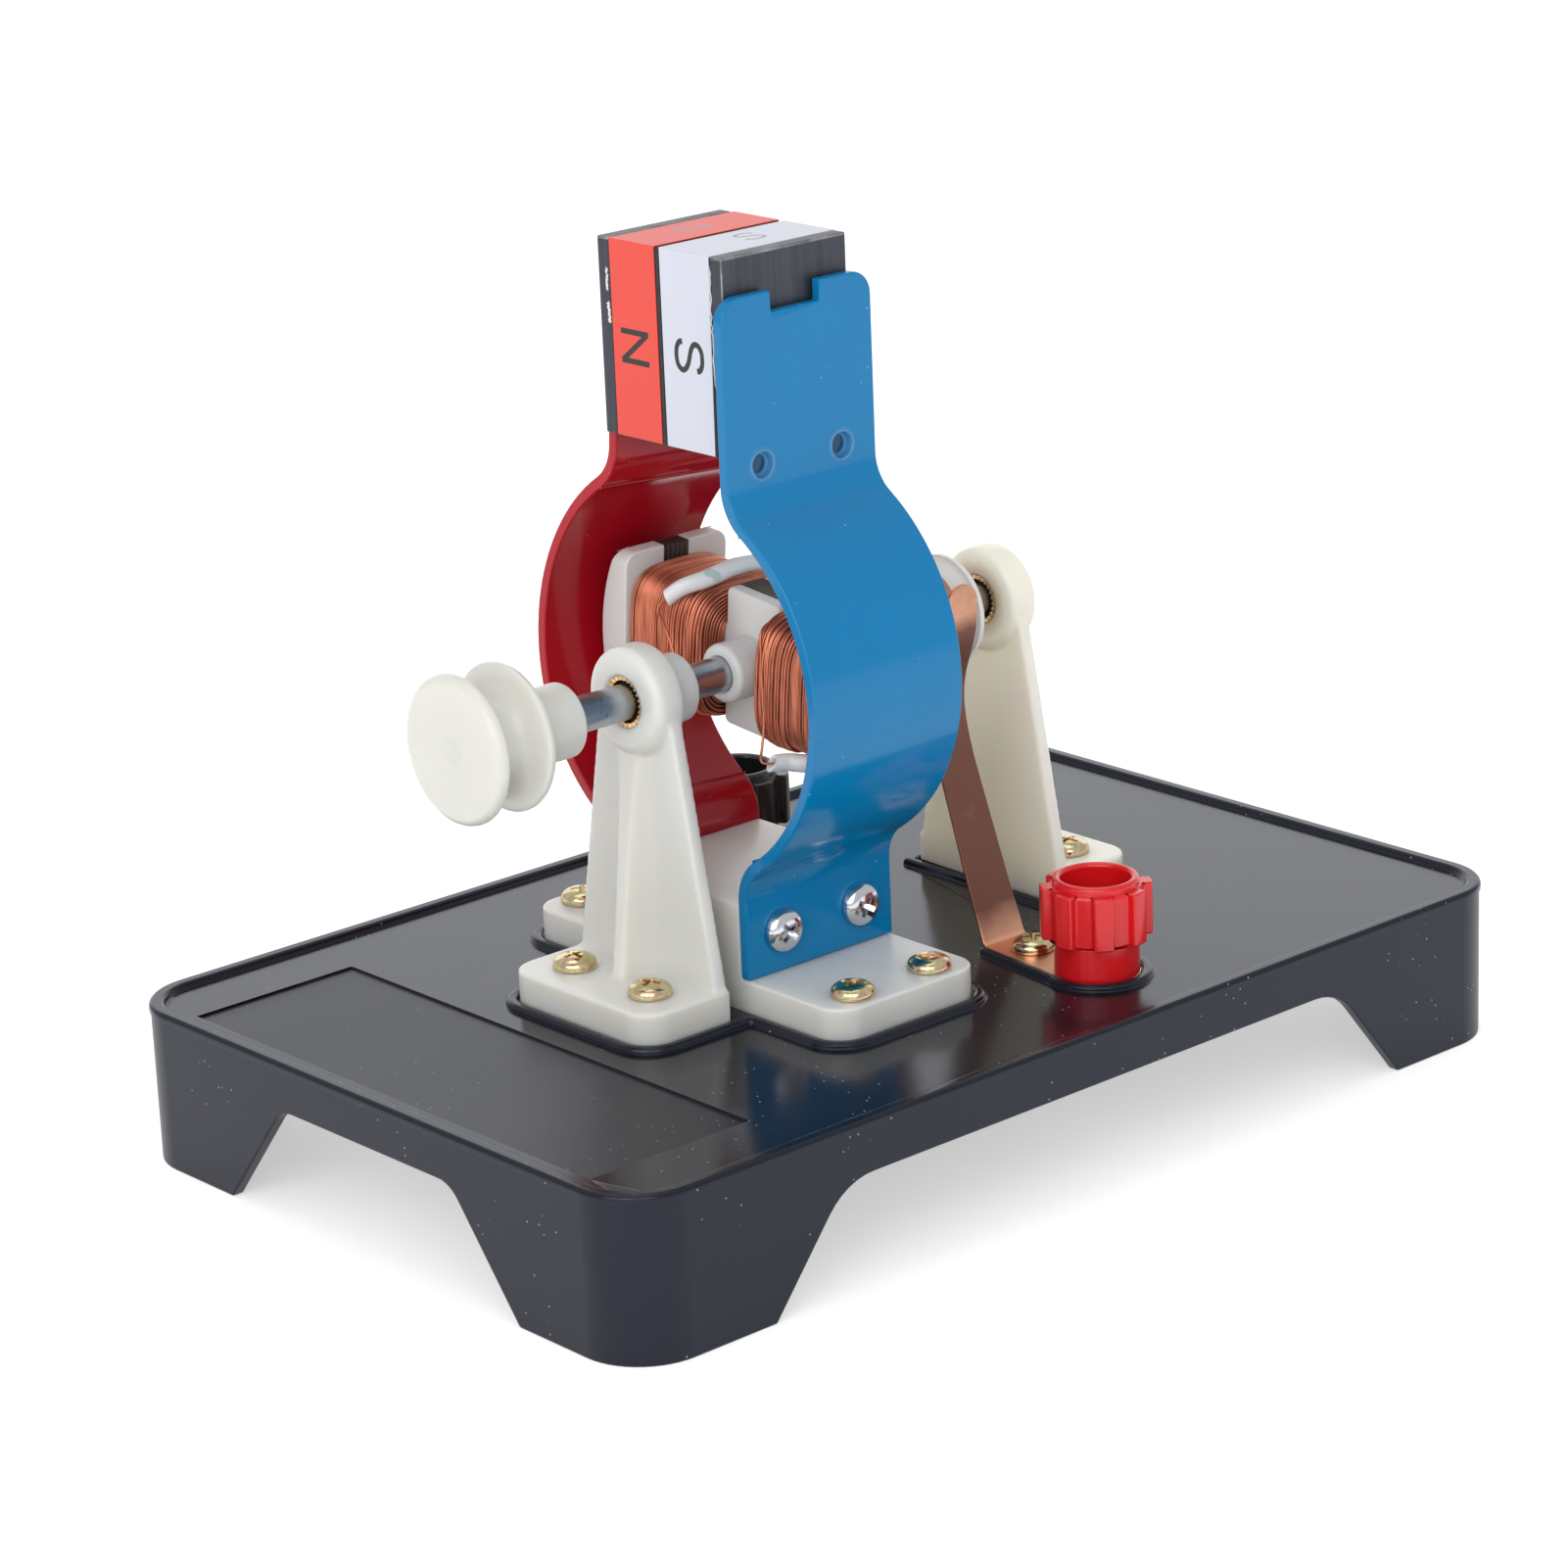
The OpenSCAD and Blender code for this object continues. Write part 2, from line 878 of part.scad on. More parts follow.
module armature_front() {
  color([0.9, 0.89, 0.84])
    on_rotor()
      armature_half(-1);
}

module armature_rear() {
  color([0.9, 0.89, 0.84])
    on_rotor()
      armature_half(1);
}

module laminations() {
  color([0.24, 0.23, 0.22])
    on_rotor()
      difference() {
        along_x(arm_x - lam_x + eps, arm_x + lam_x - eps) {
          shoe_profile(0.15);
          mirror([1, 0])
            shoe_profile(0.15);
          square([2 * shoe_y + 0.4, 2 * core_z], center = true);
          square([2 * hub_y - 0.2, 2 * hub_z - 0.4], center = true);
        }
        rod_x(arm_x - 20, arm_x + 20, shaft_r);
      }
}

// ---- coils ----

coil_y0 = hub_y + 0.1;
coil_y1 = shoe_y - 0.2;
turn_r = wire_d / 2;
turn_x = coil_x - turn_r;
turn_z = coil_z - turn_r;
turn_c = coil_r - turn_r;
loop_pts = 24;
pitch = (coil_y1 - coil_y0 - wire_d - 0.1) / loops;

// 24 points of a rounded rectangle, from the middle of the underside towards -X
function corner(cx, cz, a0) =
  [for (i = [0:4]) [cx + turn_c * cos(a0 - 22.5 * i), cz + turn_c * sin(a0 - 22.5 * i)]];
function loop_shape() = let (x = turn_x - turn_c, z = turn_z - turn_c) concat(
  [[0, -turn_z]],
  corner(-x, -z, 270),
  [[-turn_x, 0]],
  corner(-x, z, 180),
  [[0, turn_z]],
  corner(x, z, 90),
  [[turn_x, 0]],
  corner(x, -z, 0)
);
shape = loop_shape();

// the layer runs from the shoe towards the middle block
function winding(count) = [for (i = [0:count])
  let (p = shape[i % loop_pts])
  [arm_x + p[0], coil_y1 - turn_r - 0.05 - pitch * i / loop_pts, p[1]]];

// a smooth line through points, with n steps a span
function smooth(p, n) = [for (i = [0:len(p) - 2])
  let (
    a = p[max(i - 1, 0)],
    b = p[i],
    c = p[i + 1],
    d = p[min(i + 2, len(p) - 1)]
  )
  for (k = [0:(i == len(p) - 2 ? n : n - 1)])
    let (t = k / n)
    0.5 * (2 * b + t * (c - a) + t * t * (2 * a - 5 * b + 4 * c - d)
      + t * t * t * (3 * b - a - 3 * c + d))];

function tangents(p) = [for (i = [0:len(p) - 1])
  unit(p[min(i + 1, len(p) - 1)] - p[max(i - 1, 0)])];

// side vectors carried along the line without twist
function carried(t, start) = [
  for (
    i = 0, s = unit(start - (start * t[0]) * t[0]);
    i < len(t);
    i = i + 1, s = i < len(t) ? unit(s - (s * t[i]) * t[i]) : s
  ) s];

// a tube along a line: solid, or with a bore when r_in is given
module tube(path, r, sides, r_in = 0) {
  n = len(path);
  t = tangents(path);
  s = carried(t, [0.1, 1, 0.2]);
  outer = [for (i = [0:n - 1])
    let (w = cross(t[i], s[i]))
    for (k = [0:sides - 1])
      let (a = 360 * k / sides)
      path[i] + r * (cos(a) * s[i] + sin(a) * w)];
  bore = [for (i = [0:n - 1])
    let (w = cross(t[i], s[i]))
    for (k = [0:sides - 1])
      let (a = 360 * k / sides)
      path[i] + r_in * (cos(a) * s[i] + sin(a) * w)];
  walls = [for (i = [0:n - 2])
    for (k = [0:sides - 1])
      let (
        a = i * sides + k,
        b = i * sides + (k + 1) % sides,
        c = a + sides,
        d = b + sides
      )
      for (f = [[a, c, b], [b, c, d]])
        f];
  shift = n * sides;
  last = (n - 1) * sides;
  if (r_in == 0) {
    ends = concat(
      [for (k = [1:sides - 2]) [0, k, k + 1]],
      [for (k = [1:sides - 2]) [last, last + k + 1, last + k]]
    );
    polyhedron(outer, concat(walls, ends));
  } else {
    rims = [for (k = [0:sides - 1])
      let (k2 = (k + 1) % sides)
      for (f = [
        [k, k2, shift + k],
        [k2, shift + k2, shift + k],
        [last + k, shift + last + k, last + k2],
        [last + k2, shift + last + k, shift + last + k2]
      ])
        f];
    polyhedron(
      concat(outer, bore),
      concat(walls, [for (f = walls) [f[0] + shift, f[2] + shift, f[1] + shift]], rims)
    );
  }
}

// the least gap between stretches of a tube that aren't next to each other
function least_gap(p, d) = min([for (i = [0:len(p) - 1])
  for (j = [i + 8:len(p) - 1])
    norm(p[i] - p[j])]) - d;

// lead of coil a: up over its own front, into the mouth of the upper sleeve
lead_a = [
  [-19.9, 8.1, -9.3],
  [-20.7, 9.2, -6],
  [-20.9, 11.2, -1],
  [-21.2, 14.2, 3.6],
  [-21.9, 15.8, 6.2],
  [-21.7, 15.2, 8],
  [-21, 14.1, 9.1],
  [-20.3, 13, 10.2]
];
// lead of coil b: down over its own front, into the mouth of the lower sleeve
lead_b = [
  [-19.9, 8.1, -9.3],
  [-20.7, 8.6, -6],
  [-20.9, 9.2, 0],
  [-20.8, 9.9, 6],
  [-21.5, 10.6, 9.6],
  [-22.7, 11.5, 11.4],
  [-22, 12.2, 11.9],
  [-20.1, 13.2, 11.9]
];
turns_a = concat(winding(loops * loop_pts + 4), smooth(lead_a, 2));
turns_b = concat(winding(loops * loop_pts + 4), smooth(lead_b, 2));
echo(gap_coil_a = least_gap(turns_a, wire_d), gap_coil_b = least_gap(turns_b, wire_d));

module coil_body() {
  skin = wire_d + 0.1;
  rotate([90, 0, 0])
    translate([arm_x, 0, -coil_y1])
      linear_extrude(coil_y1 - coil_y0)
        difference() {
          rounded(2 * (coil_x - skin), 2 * (coil_z - skin), coil_r - skin);
          square([2 * core_x + 0.1, 2 * core_z + 0.1], center = true);
        }
}

// coil b is coil a turned half round on the shaft
module coil_a() {
  color([0.72, 0.38, 0.25])
    on_rotor()
      coil_body();
}

module coil_b() {
  color([0.72, 0.38, 0.25])
    on_rotor()
      rotate([180, 0, 0])
        coil_body();
}

module coil_a_turns() {
  color([0.78, 0.42, 0.28])
    on_rotor()
      tube(turns_a, turn_r, 6);
}

module coil_b_turns() {
  color([0.78, 0.42, 0.28])
    on_rotor()
      rotate([180, 0, 0])
        tube(turns_b, turn_r, 6);
}

module sleeve_a() {
  route = [
    [-21, 14.1, 9.1],
    [-19.6, 11.8, 11.4],
    [-16, 9.8, 12.7],
    [-11, 9, 13.8],
    [-5, 8.2, 13.7],
    [1, 6.3, 12.9],
    [7, 4.5, 10.9],
    [11.4, 3.3, 9.6]
  ];
  color([0.85, 0.88, 0.85])
    on_rotor()
      tube(smooth(route, 3), sleeve_r, 10, sleeve_bore);
}

module sleeve_b() {
  route = [
    [-21, -12.7, -11.9],
    [-18.5, -14, -11.9],
    [-15.5, -16.6, -11.9],
    [-8, -15.2, -12],
    [0, -12.2, -11.9],
    [6, -7.1, -10.8],
    [11.4, -3.3, -9.6]
  ];
  color([0.85, 0.88, 0.85])
    on_rotor()
      tube(smooth(route, 3), sleeve_r, 10, sleeve_bore);
}

// ---- commutator ----

hub_end = arm_x + 12.15;
barrel_r = comm_r - 1.6;
end_r = comm_r - 0.1;
flare = flange_r - end_r - 0.2;

module commutator_hub() {
  color([0.93, 0.92, 0.88])
    on_rotor()
      difference() {
        union() {
          rod_x(hub_end + 0.05, comm_x0, barrel_r - 1);
          rod_x(comm_x0 - 1.5, ring_x1 + 1, barrel_r);
          rotate([0, 90, 0])
            rotate_extrude($fn = 96)
              polygon(concat(
                [[0, ring_x1 + 0.05], [end_r, ring_x1 + 0.05]],
                round_pts([end_r + flare, comm_x1 - 1.4 - flare], flare, 180, -90),
                [[flange_r, comm_x1 - 1.2], [flange_r, comm_x1 - 0.3], [flange_r - 0.3, comm_x1]],
                [[0, comm_x1]]
              ));
        }
        rod_x(-5, 40, shaft_r);
      }
}

// half a copper ring with the tab that its lead is soldered to
module segment() {
  difference() {
    union() {
      rod_x(comm_x0, ring_x1, comm_r);
      block([comm_x0, -1.6, comm_r - 0.6], [comm_x0 + 1, 1.6, comm_r + 2.4]);
    }
    rod_x(comm_x0 - 1, comm_x1, barrel_r);
    block([comm_x0 - 1, -20, -20], [comm_x1, 20, slot_w / 2]);
  }
}

module segment_a() {
  color([0.78, 0.45, 0.3])
    on_rotor()
      segment();
}

module segment_b() {
  color([0.78, 0.45, 0.3])
    on_rotor()
      rotate([180, 0, 0])
        segment();
}

// ---- brushes and terminals ----

// side view of a brush: flat foot, bend, and a leaf that leans in to the commutator
module leaf_side() {
  rise = axis_h - leaf_z;
  touch = comm_r + leaf_gap;
  lean = atan2(rise, leaf_foot_y) + asin(touch / norm([rise, leaf_foot_y]));
  length = 75;
  steps = 6;
  bend = [-leaf_foot_y - leaf_bend_r * tan(lean / 2), leaf_z + leaf_bend_r];
  tip = [-leaf_foot_y + length * cos(lean), leaf_z + length * sin(lean)];
  polygon(concat(
    [[-term_y, leaf_z]],
    [for (i = [0:steps])
      let (a = -90 + lean * i / steps)
      bend + leaf_bend_r * [cos(a), sin(a)]],
    [tip, tip + leaf_t * [-sin(lean), cos(lean)]],
    [for (i = [steps:-1:0])
      let (a = -90 + lean * i / steps)
      bend + (leaf_bend_r - leaf_t) * [cos(a), sin(a)]],
    [[-term_y, leaf_z + leaf_t]]
  ));
}

// front view of a brush: it narrows and steps sideways to a round tip
module leaf_front() {
  tip_z = leaf_top - leaf_tip_w / 2;
  polygon([
    [-leaf_foot_w / 2, leaf_z - 1],
    [leaf_foot_w / 2, leaf_z - 1],
    [leaf_step + leaf_tip_w / 2, tip_z],
    [leaf_step - leaf_tip_w / 2, tip_z]
  ]);
  translate([leaf_step, tip_z])
    circle(r = leaf_tip_w / 2);
}

// the leaf springs up from its foot and lies against the commutator
module brush() {
  difference() {
    union() {
      intersection() {
        along_x(term_x - 10, term_x + 10)
          leaf_side();
        translate([term_x, 0, 0])
          rotate([90, 0, 0])
            linear_extrude(term_y + 5)
              leaf_front();
      }
      translate([0, 0, leaf_z])
        linear_extrude(leaf_t)
          terminal_plan(leaf_pad_r, leaf_foot_w / 2, leaf_foot_end);
    }
    translate([term_x, -term_y, leaf_z - 1])
      cylinder(r = stud_r + 0.1, h = 4);
    translate([term_x, -brush_screw_y, leaf_z - 1])
      cylinder(r = hole_r, h = 4);
  }
}

module red_side_brush() {
  color([0.72, 0.42, 0.31])
    brush();
}

module black_side_brush() {
  color([0.72, 0.42, 0.31])
    mirror([0, 1, 0])
      brush();
}

module terminal_collar() {
  translate([term_x, -term_y, 0])
    difference() {
      translate([0, 0, collar_z0])
        cylinder(r = collar_r, h = collar_z1 - collar_z0);
      cylinder(r = stud_r, h = 60);
    }
}

module red_terminal_collar() {
  color([0.78, 0.07, 0.1])
    terminal_collar();
}

module black_terminal_collar() {
  color([0.05, 0.05, 0.06])
    mirror([0, 1, 0])
      terminal_collar();
}

module terminal_studs() {
  color([0.78, 0.64, 0.36])
    terminal_spots()
      difference() {
        translate([0, 0, screw_end])
          cylinder(r = stud_r, h = stud_top - screw_end);
        translate([0, 0, stud_top - socket_h])
          cylinder(r = socket_d / 2, h = socket_h + 1);
      }
}

module terminal_nuts() {
  color([0.75, 0.72, 0.6])
    terminal_spots()
      translate([0, 0, floor_z - 4])
        hex_nut(10, 4, stud_r);
}

module knob_insert() {
  translate([term_x, -term_y, 0])
    difference() {
      translate([0, 0, knob_z0])
        cylinder(r = insert_r, h = insert_top - knob_z0);
      cylinder(r = stud_r + lift_gap, h = 60);
    }
}

module red_insert() {
  color([0.78, 0.64, 0.36])
    knob_insert();
}

module black_insert() {
  color([0.78, 0.64, 0.36])
    mirror([0, 1, 0])
      knob_insert();
}

// ribbed barrel with an open mouth, screwed down on the stud
module knob() {
  rib_w = 3.4;
  shoulder_z = knob_top - 1.3;
  lip_r = (knob_ring_r - knob_mouth_r) / 2;
  lip_z = knob_top - lip_r;
  bore_r = insert_r + lift_gap;
  translate([term_x, -term_y, 0]) {
    rotate_extrude($fn = 96)
      polygon(concat(
        [[bore_r, knob_z0], [knob_barrel_r, knob_z0], [knob_barrel_r, shoulder_z - 0.4]],
        [[knob_barrel_r - 0.4, shoulder_z], [knob_ring_r, shoulder_z]],
        round_pts([knob_mouth_r + lip_r, lip_z], lip_r, 0, 180, 10),
        [[knob_mouth_r, insert_top], [bore_r, insert_top]]
      ));
    difference() {
      intersection() {
        translate([0, 0, knob_z0])
          cylinder(r = knob_rib_r, h = shoulder_z - knob_z0);
        for (i = [0:knob_ribs - 1])
          rotate([0, 0, 360 * i / knob_ribs + 8])
            translate([0, -rib_w / 2, knob_z0])
              cube([20, rib_w, shoulder_z - knob_z0]);
      }
      translate([0, 0, knob_z0 - 1])
        cylinder(r = knob_barrel_r - 0.5, h = knob_top);
    }
  }
}

module red_knob() {
  color([0.83, 0.09, 0.12])
    knob();
}

module black_knob() {
  color([0.05, 0.05, 0.06])
    mirror([0, 1, 0])
      knob();
}

base();
front_post();
rear_post();
front_bush();
rear_bush();
magnet_stand();
blue_pole_strip();
red_pole_strip();
strip_screws();
stand_screws();
post_screws();
brush_screws();
base_nuts();
magnet_n();
magnet_s();
outer_plate_n();
outer_plate_s();
label_n();
label_s();
shaft();
pulley();
shaft_collar();
armature_front();
armature_rear();
laminations();
coil_a();
coil_b();
coil_a_turns();
coil_b_turns();
sleeve_a();
sleeve_b();
commutator_hub();
segment_a();
segment_b();
red_side_brush();
black_side_brush();
red_terminal_collar();
black_terminal_collar();
terminal_studs();
terminal_nuts();
red_insert();
black_insert();
red_knob();
black_knob();
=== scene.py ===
# Demonstration electric motor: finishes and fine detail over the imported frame.
import math
import random
import bmesh
import bpy
from mathutils import Matrix, Vector


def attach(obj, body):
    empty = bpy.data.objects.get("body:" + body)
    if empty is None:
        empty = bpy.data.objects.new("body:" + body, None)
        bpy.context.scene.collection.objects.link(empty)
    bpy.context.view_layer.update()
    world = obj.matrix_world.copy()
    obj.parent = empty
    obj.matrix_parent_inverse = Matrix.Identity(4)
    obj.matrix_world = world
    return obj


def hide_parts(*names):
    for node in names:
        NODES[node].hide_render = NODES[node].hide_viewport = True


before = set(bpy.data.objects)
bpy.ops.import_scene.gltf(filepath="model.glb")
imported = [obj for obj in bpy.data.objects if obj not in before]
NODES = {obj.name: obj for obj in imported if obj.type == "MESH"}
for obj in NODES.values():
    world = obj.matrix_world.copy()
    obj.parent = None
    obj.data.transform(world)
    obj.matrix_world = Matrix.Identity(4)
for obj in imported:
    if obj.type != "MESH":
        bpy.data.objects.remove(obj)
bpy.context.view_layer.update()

MM = 0.001
AXIS_Z = 79.4  # height of the shaft's axis, mm
ROTOR_TURN = 5.5  # the angle at which the armature stands, degrees
ARM_X = -9.4  # middle of the armature along the shaft, mm
UP = (0.0, 0.0, 1.0)


# ---- shader expressions ----

def feed(tree, socket, value):
    """Links a socket of a node, or sets its value. A colour is given by its three parts."""
    source = getattr(value, "socket", value)
    if isinstance(source, bpy.types.NodeSocket):
        tree.links.new(source, socket)
    else:
        socket.default_value = (*value, 1.0) if socket.type == "RGBA" else value


def add_node(tree, kind, settings, values):
    """A node whose settings are made first and whose inputs are fed after them."""
    made = tree.nodes.new(kind)
    for key, value in settings.items():
        if key == "stops":
            stops = made.color_ramp.elements
            for index, (at, colour) in enumerate(value):
                stop = stops[index] if index < 2 else stops.new(at)
                stop.position, stop.color = at, (*colour, 1.0)
        else:
            setattr(made, key, value)
    for key, value in values.items():
        feed(tree, made.inputs[key], value)
    return made


def operator(operation, swapped=False):
    """A method that puts a Math node behind one of Python's operators."""

    def applied(self, other):
        a, b = (other, self) if swapped else (self, other)
        return self.math(operation, a, b)

    return applied


class Wire:
    """A shader socket that takes part in Python arithmetic."""

    __add__ = __radd__ = operator("ADD")
    __sub__, __rsub__ = operator("SUBTRACT"), operator("SUBTRACT", True)
    __mul__ = __rmul__ = operator("MULTIPLY")
    __truediv__, __pow__ = operator("DIVIDE"), operator("POWER")
    __gt__, __lt__ = operator("GREATER_THAN"), operator("LESS_THAN")

    def __init__(self, finish, socket):
        self.finish, self.socket = finish, socket

    def math(self, operation, a, b):
        return self.finish.node("ShaderNodeMath", {"operation": operation}, {0: a, 1: b}, "Value")

    def clipped(self):
        return self.math("MINIMUM", self.math("MAXIMUM", self, 0.0), 1.0)


class Finish:
    """One material: a Principled shader with named helpers for what varies over it."""

    def __init__(self, name, **shader):
        self.material = bpy.data.materials.new(name)
        self.material.use_nodes = True
        self.tree = self.material.node_tree
        self.shader = self.tree.nodes["Principled BSDF"]
        self.set(**shader)
        self.place = self.node("ShaderNodeTexCoord", {}, {}, "Object")

    def node(self, kind, settings, values, output):
        """A new node, as the wire from one of its outputs."""
        return Wire(self, add_node(self.tree, kind, settings, values).outputs[output])

    def set(self, **shader):
        for key, value in shader.items():
            feed(self.tree, self.shader.inputs[key.replace("_", " ")], value)

    def surface(self, colour, rough, height, depth_mm):
        """Sets what varies over the surface: colour, roughness and relief."""
        relief = self.node("ShaderNodeBump", {}, {"Height": height, "Distance": depth_mm * MM}, "Normal")
        self.set(Base_Color=colour, Roughness=rough, Normal=relief)
        return self

    def noise(self, per_metre, detail=2.0, rough=0.5, scale=None):
        """Clouds or grain. A scale below one along an axis draws them out along it."""
        where = self.place
        if scale:
            where = self.node("ShaderNodeMapping", {}, {"Vector": where, "Scale": scale}, "Vector")
        values = {"Vector": where, "Scale": per_metre, "Detail": detail, "Roughness": rough}
        return self.node("ShaderNodeTexNoise", {}, values, "Fac")

    def cells(self, per_metre):
        """Distance from the nearest of many scattered places, as a share of their spacing."""
        values = {"Vector": self.place, "Scale": per_metre}
        return self.node("ShaderNodeTexVoronoi", {}, values, "Distance")

    def part(self, axis):
        return self.node("ShaderNodeSeparateXYZ", {}, {"Vector": self.place}, axis)

    def blend(self, factor, a, b):
        """From colour a to colour b. The node keeps the factor between 0 and 1."""
        return self.node("ShaderNodeMix", {"data_type": "RGBA"}, {0: factor, 6: a, 7: b}, 2)

    def reach(self, spot_mm):
        """Distance from a place, in metres."""
        values = {0: self.place, 1: tuple(c * MM for c in spot_mm)}
        return self.node("ShaderNodeVectorMath", {"operation": "DISTANCE"}, values, "Value")

    def off_axis(self):
        """Distance from the shaft's axis, in metres."""
        across, up = self.part("Y"), self.part("Z") - AXIS_Z * MM
        return (across * across + up * up) ** 0.5


def moulded(name, colour, tint, rough, coat=0.0, scatter=0.0, grain=0.02, shade=0.06, stain=None):
    """Injection-moulded plastic: faint flow clouds, uneven gloss, a fine skin, dust."""
    f = Finish(name, Coat_Roughness=0.12, Coat_Weight=coat, IOR=1.49)
    if scatter:
        f.set(Subsurface_Weight=scatter, Subsurface_Radius=(1.0, 0.80, 0.50), Subsurface_Scale=0.010)
    clouds = f.noise(28.0, 3.0, 0.55)
    flecks = f.noise(900.0, 2.0, 0.6)
    dust = (f.cells(380.0) < 0.045) * (f.noise(55.0, 1.0) > 0.55)
    skin = f.blend(clouds * 1.6 - 0.3, colour, tint)
    skin = f.blend(dust * 0.22, skin, (0.22, 0.20, 0.18))
    if stain:
        skin = stain(f, skin)
    relief = f.noise(220.0, 2.0) * 0.7 + flecks * 0.3
    return f.surface(skin, rough + clouds * shade + flecks * 0.03, relief, grain)


def bearing_oil(f, skin):
    """Brown oil that has crept out of the rear post's bush."""
    spread, fade, rear_from = 0.0064, 0.0022, 0.03
    creep = f.noise(420.0, 3.0, 0.6) * 0.0016
    ring = ((spread - f.off_axis() + creep) / fade).clipped()
    rear = f.part("X") > rear_from
    return f.blend(ring * rear * 0.5, skin, (0.48, 0.30, 0.13))


def shiny_black():
    """The base's plastic: polished tray, satin walls, dust specks and a soft ripple."""
    tray_from = 0.0266
    f = Finish("base_black_plastic", IOR=1.5, Specular_IOR_Level=0.39, Specular_Tint=(0.71, 0.78, 1.0))
    speck = ((f.cells(520.0) < 0.085) * (f.noise(60.0, 2.0) > 0.53)).clipped()
    smear = f.noise(35.0, 4.0, 0.6, (1.0, 1.6, 1.0))
    tray = f.part("Z") > tray_from
    skin = f.blend(smear, (0.006, 0.006, 0.0095), (0.010, 0.010, 0.0145))
    return f.surface(
        f.blend(speck * 0.55, skin, (0.50, 0.51, 0.55)),
        0.33 - tray * 0.19 + smear * 0.07 + speck * 0.4,
        f.noise(45.0, 1.0) + f.noise(420.0, 2.0) * 0.12, 0.05)


def enamel(name, colour, deep, fleck_and_highlight, holes, shadow):
    """Stove enamel on bent strip: orange peel, dust under the coat, painted shade inside the spare holes and a
    thin painted highlight round them.
    """
    hole_r, rim_r = 0.00215, 0.00295
    f = Finish(name, IOR=1.5, Specular_IOR_Level=0.26, Coat_Roughness=0.05, Coat_Weight=0.12)
    drift = f.noise(22.0, 3.0, 0.6)
    spot = ((f.cells(430.0) < 0.07) * (f.noise(75.0, 1.0) > 0.57)).clipped()
    skin = f.blend(drift * 1.4 - 0.2, colour, deep)
    dark, thin = 0.0, 0.0
    for hole in holes:
        away = f.reach(hole)
        dark = dark + ((hole_r - away) * 4000.0).clipped()
        thin = thin + ((rim_r - away) * 3000.0).clipped()
    # a thin paler ring round each hole: painted highlight
    skin = f.blend(thin * 0.10, skin, fleck_and_highlight)
    # painted shade inside each blind spare hole
    skin = f.blend(dark * 0.85, skin, shadow)
    return f.surface(
        f.blend(spot * 0.35, skin, fleck_and_highlight),
        0.12 + drift * 0.07 + spot * 0.2,
        f.noise(330.0, 1.0) * 0.5 + drift * 2.0 + spot * 0.8, 0.045)


def plated(name, colour, tint, rough, rainbow=False):
    """Zinc or chrome plating: small pits, faint swirls, colour drift where passivated."""
    f = Finish(name, Metallic=1.0)
    pits = f.noise(900.0, 3.0, 0.65)
    skin = f.blend(f.noise(260.0, 2.0, 0.6), colour, tint)
    if rainbow:
        stops = (
            (0.30, (0.72, 0.58, 0.27)), (0.42, (0.50, 0.54, 0.32)), (0.50, (0.86, 0.70, 0.42)),
            (0.58, (0.70, 0.44, 0.36)), (0.68, (0.58, 0.55, 0.30)),
        )
        swirl = {"Fac": f.noise(320.0, 1.5, 0.5)}
        skin = f.blend(0.62, skin, f.node("ShaderNodeValToRGB", {"stops": stops}, swirl, "Color"))
    return f.surface(skin, rough + pits * 0.16, pits, 0.02)


def turned_steel():
    """The shaft: fine turning rings and a grey stain."""
    f = Finish("shaft_steel", Metallic=1.0)
    rings = f.noise(420.0, 3.0, 0.7, (6.0, 1.0, 1.0))
    stain = f.noise(90.0, 3.0, 0.6)
    skin = f.blend(stain * 1.5 - 0.3, (0.55, 0.60, 0.66), (0.30, 0.31, 0.33))
    return f.surface(skin, 0.16 + rings * 0.22 + stain * 0.08, rings, 0.012)


def sintered():
    """The bushes: porous bronze, oil-dark in patches, and darkest round the bore with oil and painted shade."""
    bore_r = 0.00358
    f = Finish("bush_bronze", Metallic=0.85)
    pores = f.cells(2600.0)
    oil = f.noise(180.0, 3.0)
    ring = f.blend(oil * 1.5 - 0.35, (0.80, 0.56, 0.28), (0.34, 0.20, 0.09))
    # oil and painted shade darken the recess round the bore
    skin = f.blend(f.off_axis() < bore_r, ring, (0.10, 0.068, 0.038))
    return f.surface(skin, 0.42 + oil * 0.25 - pores * 0.2, pores, 0.06)


def copper_sheet():
    """The segments: rolled copper with clouds of tarnish."""
    f = Finish("segment_copper", Metallic=1.0)
    cloud = f.noise(60.0, 4.0, 0.65)
    rolled = f.noise(500.0, 2.0, 0.6, (1.0, 0.06, 0.06))
    worn = (cloud * 1.9 - 0.45).clipped()
    skin = f.blend(worn, (0.78, 0.38, 0.24), (0.42, 0.18, 0.11))
    return f.surface(skin, 0.22 + worn * 0.18 + rolled * 0.14, rolled, 0.015)


LEAF_PITS = ((24.2, -9.0, 84.1), (25.9, -9.0, 83.6), (24.0, -9.0, 82.2), (25.7, -9.0, 81.8))


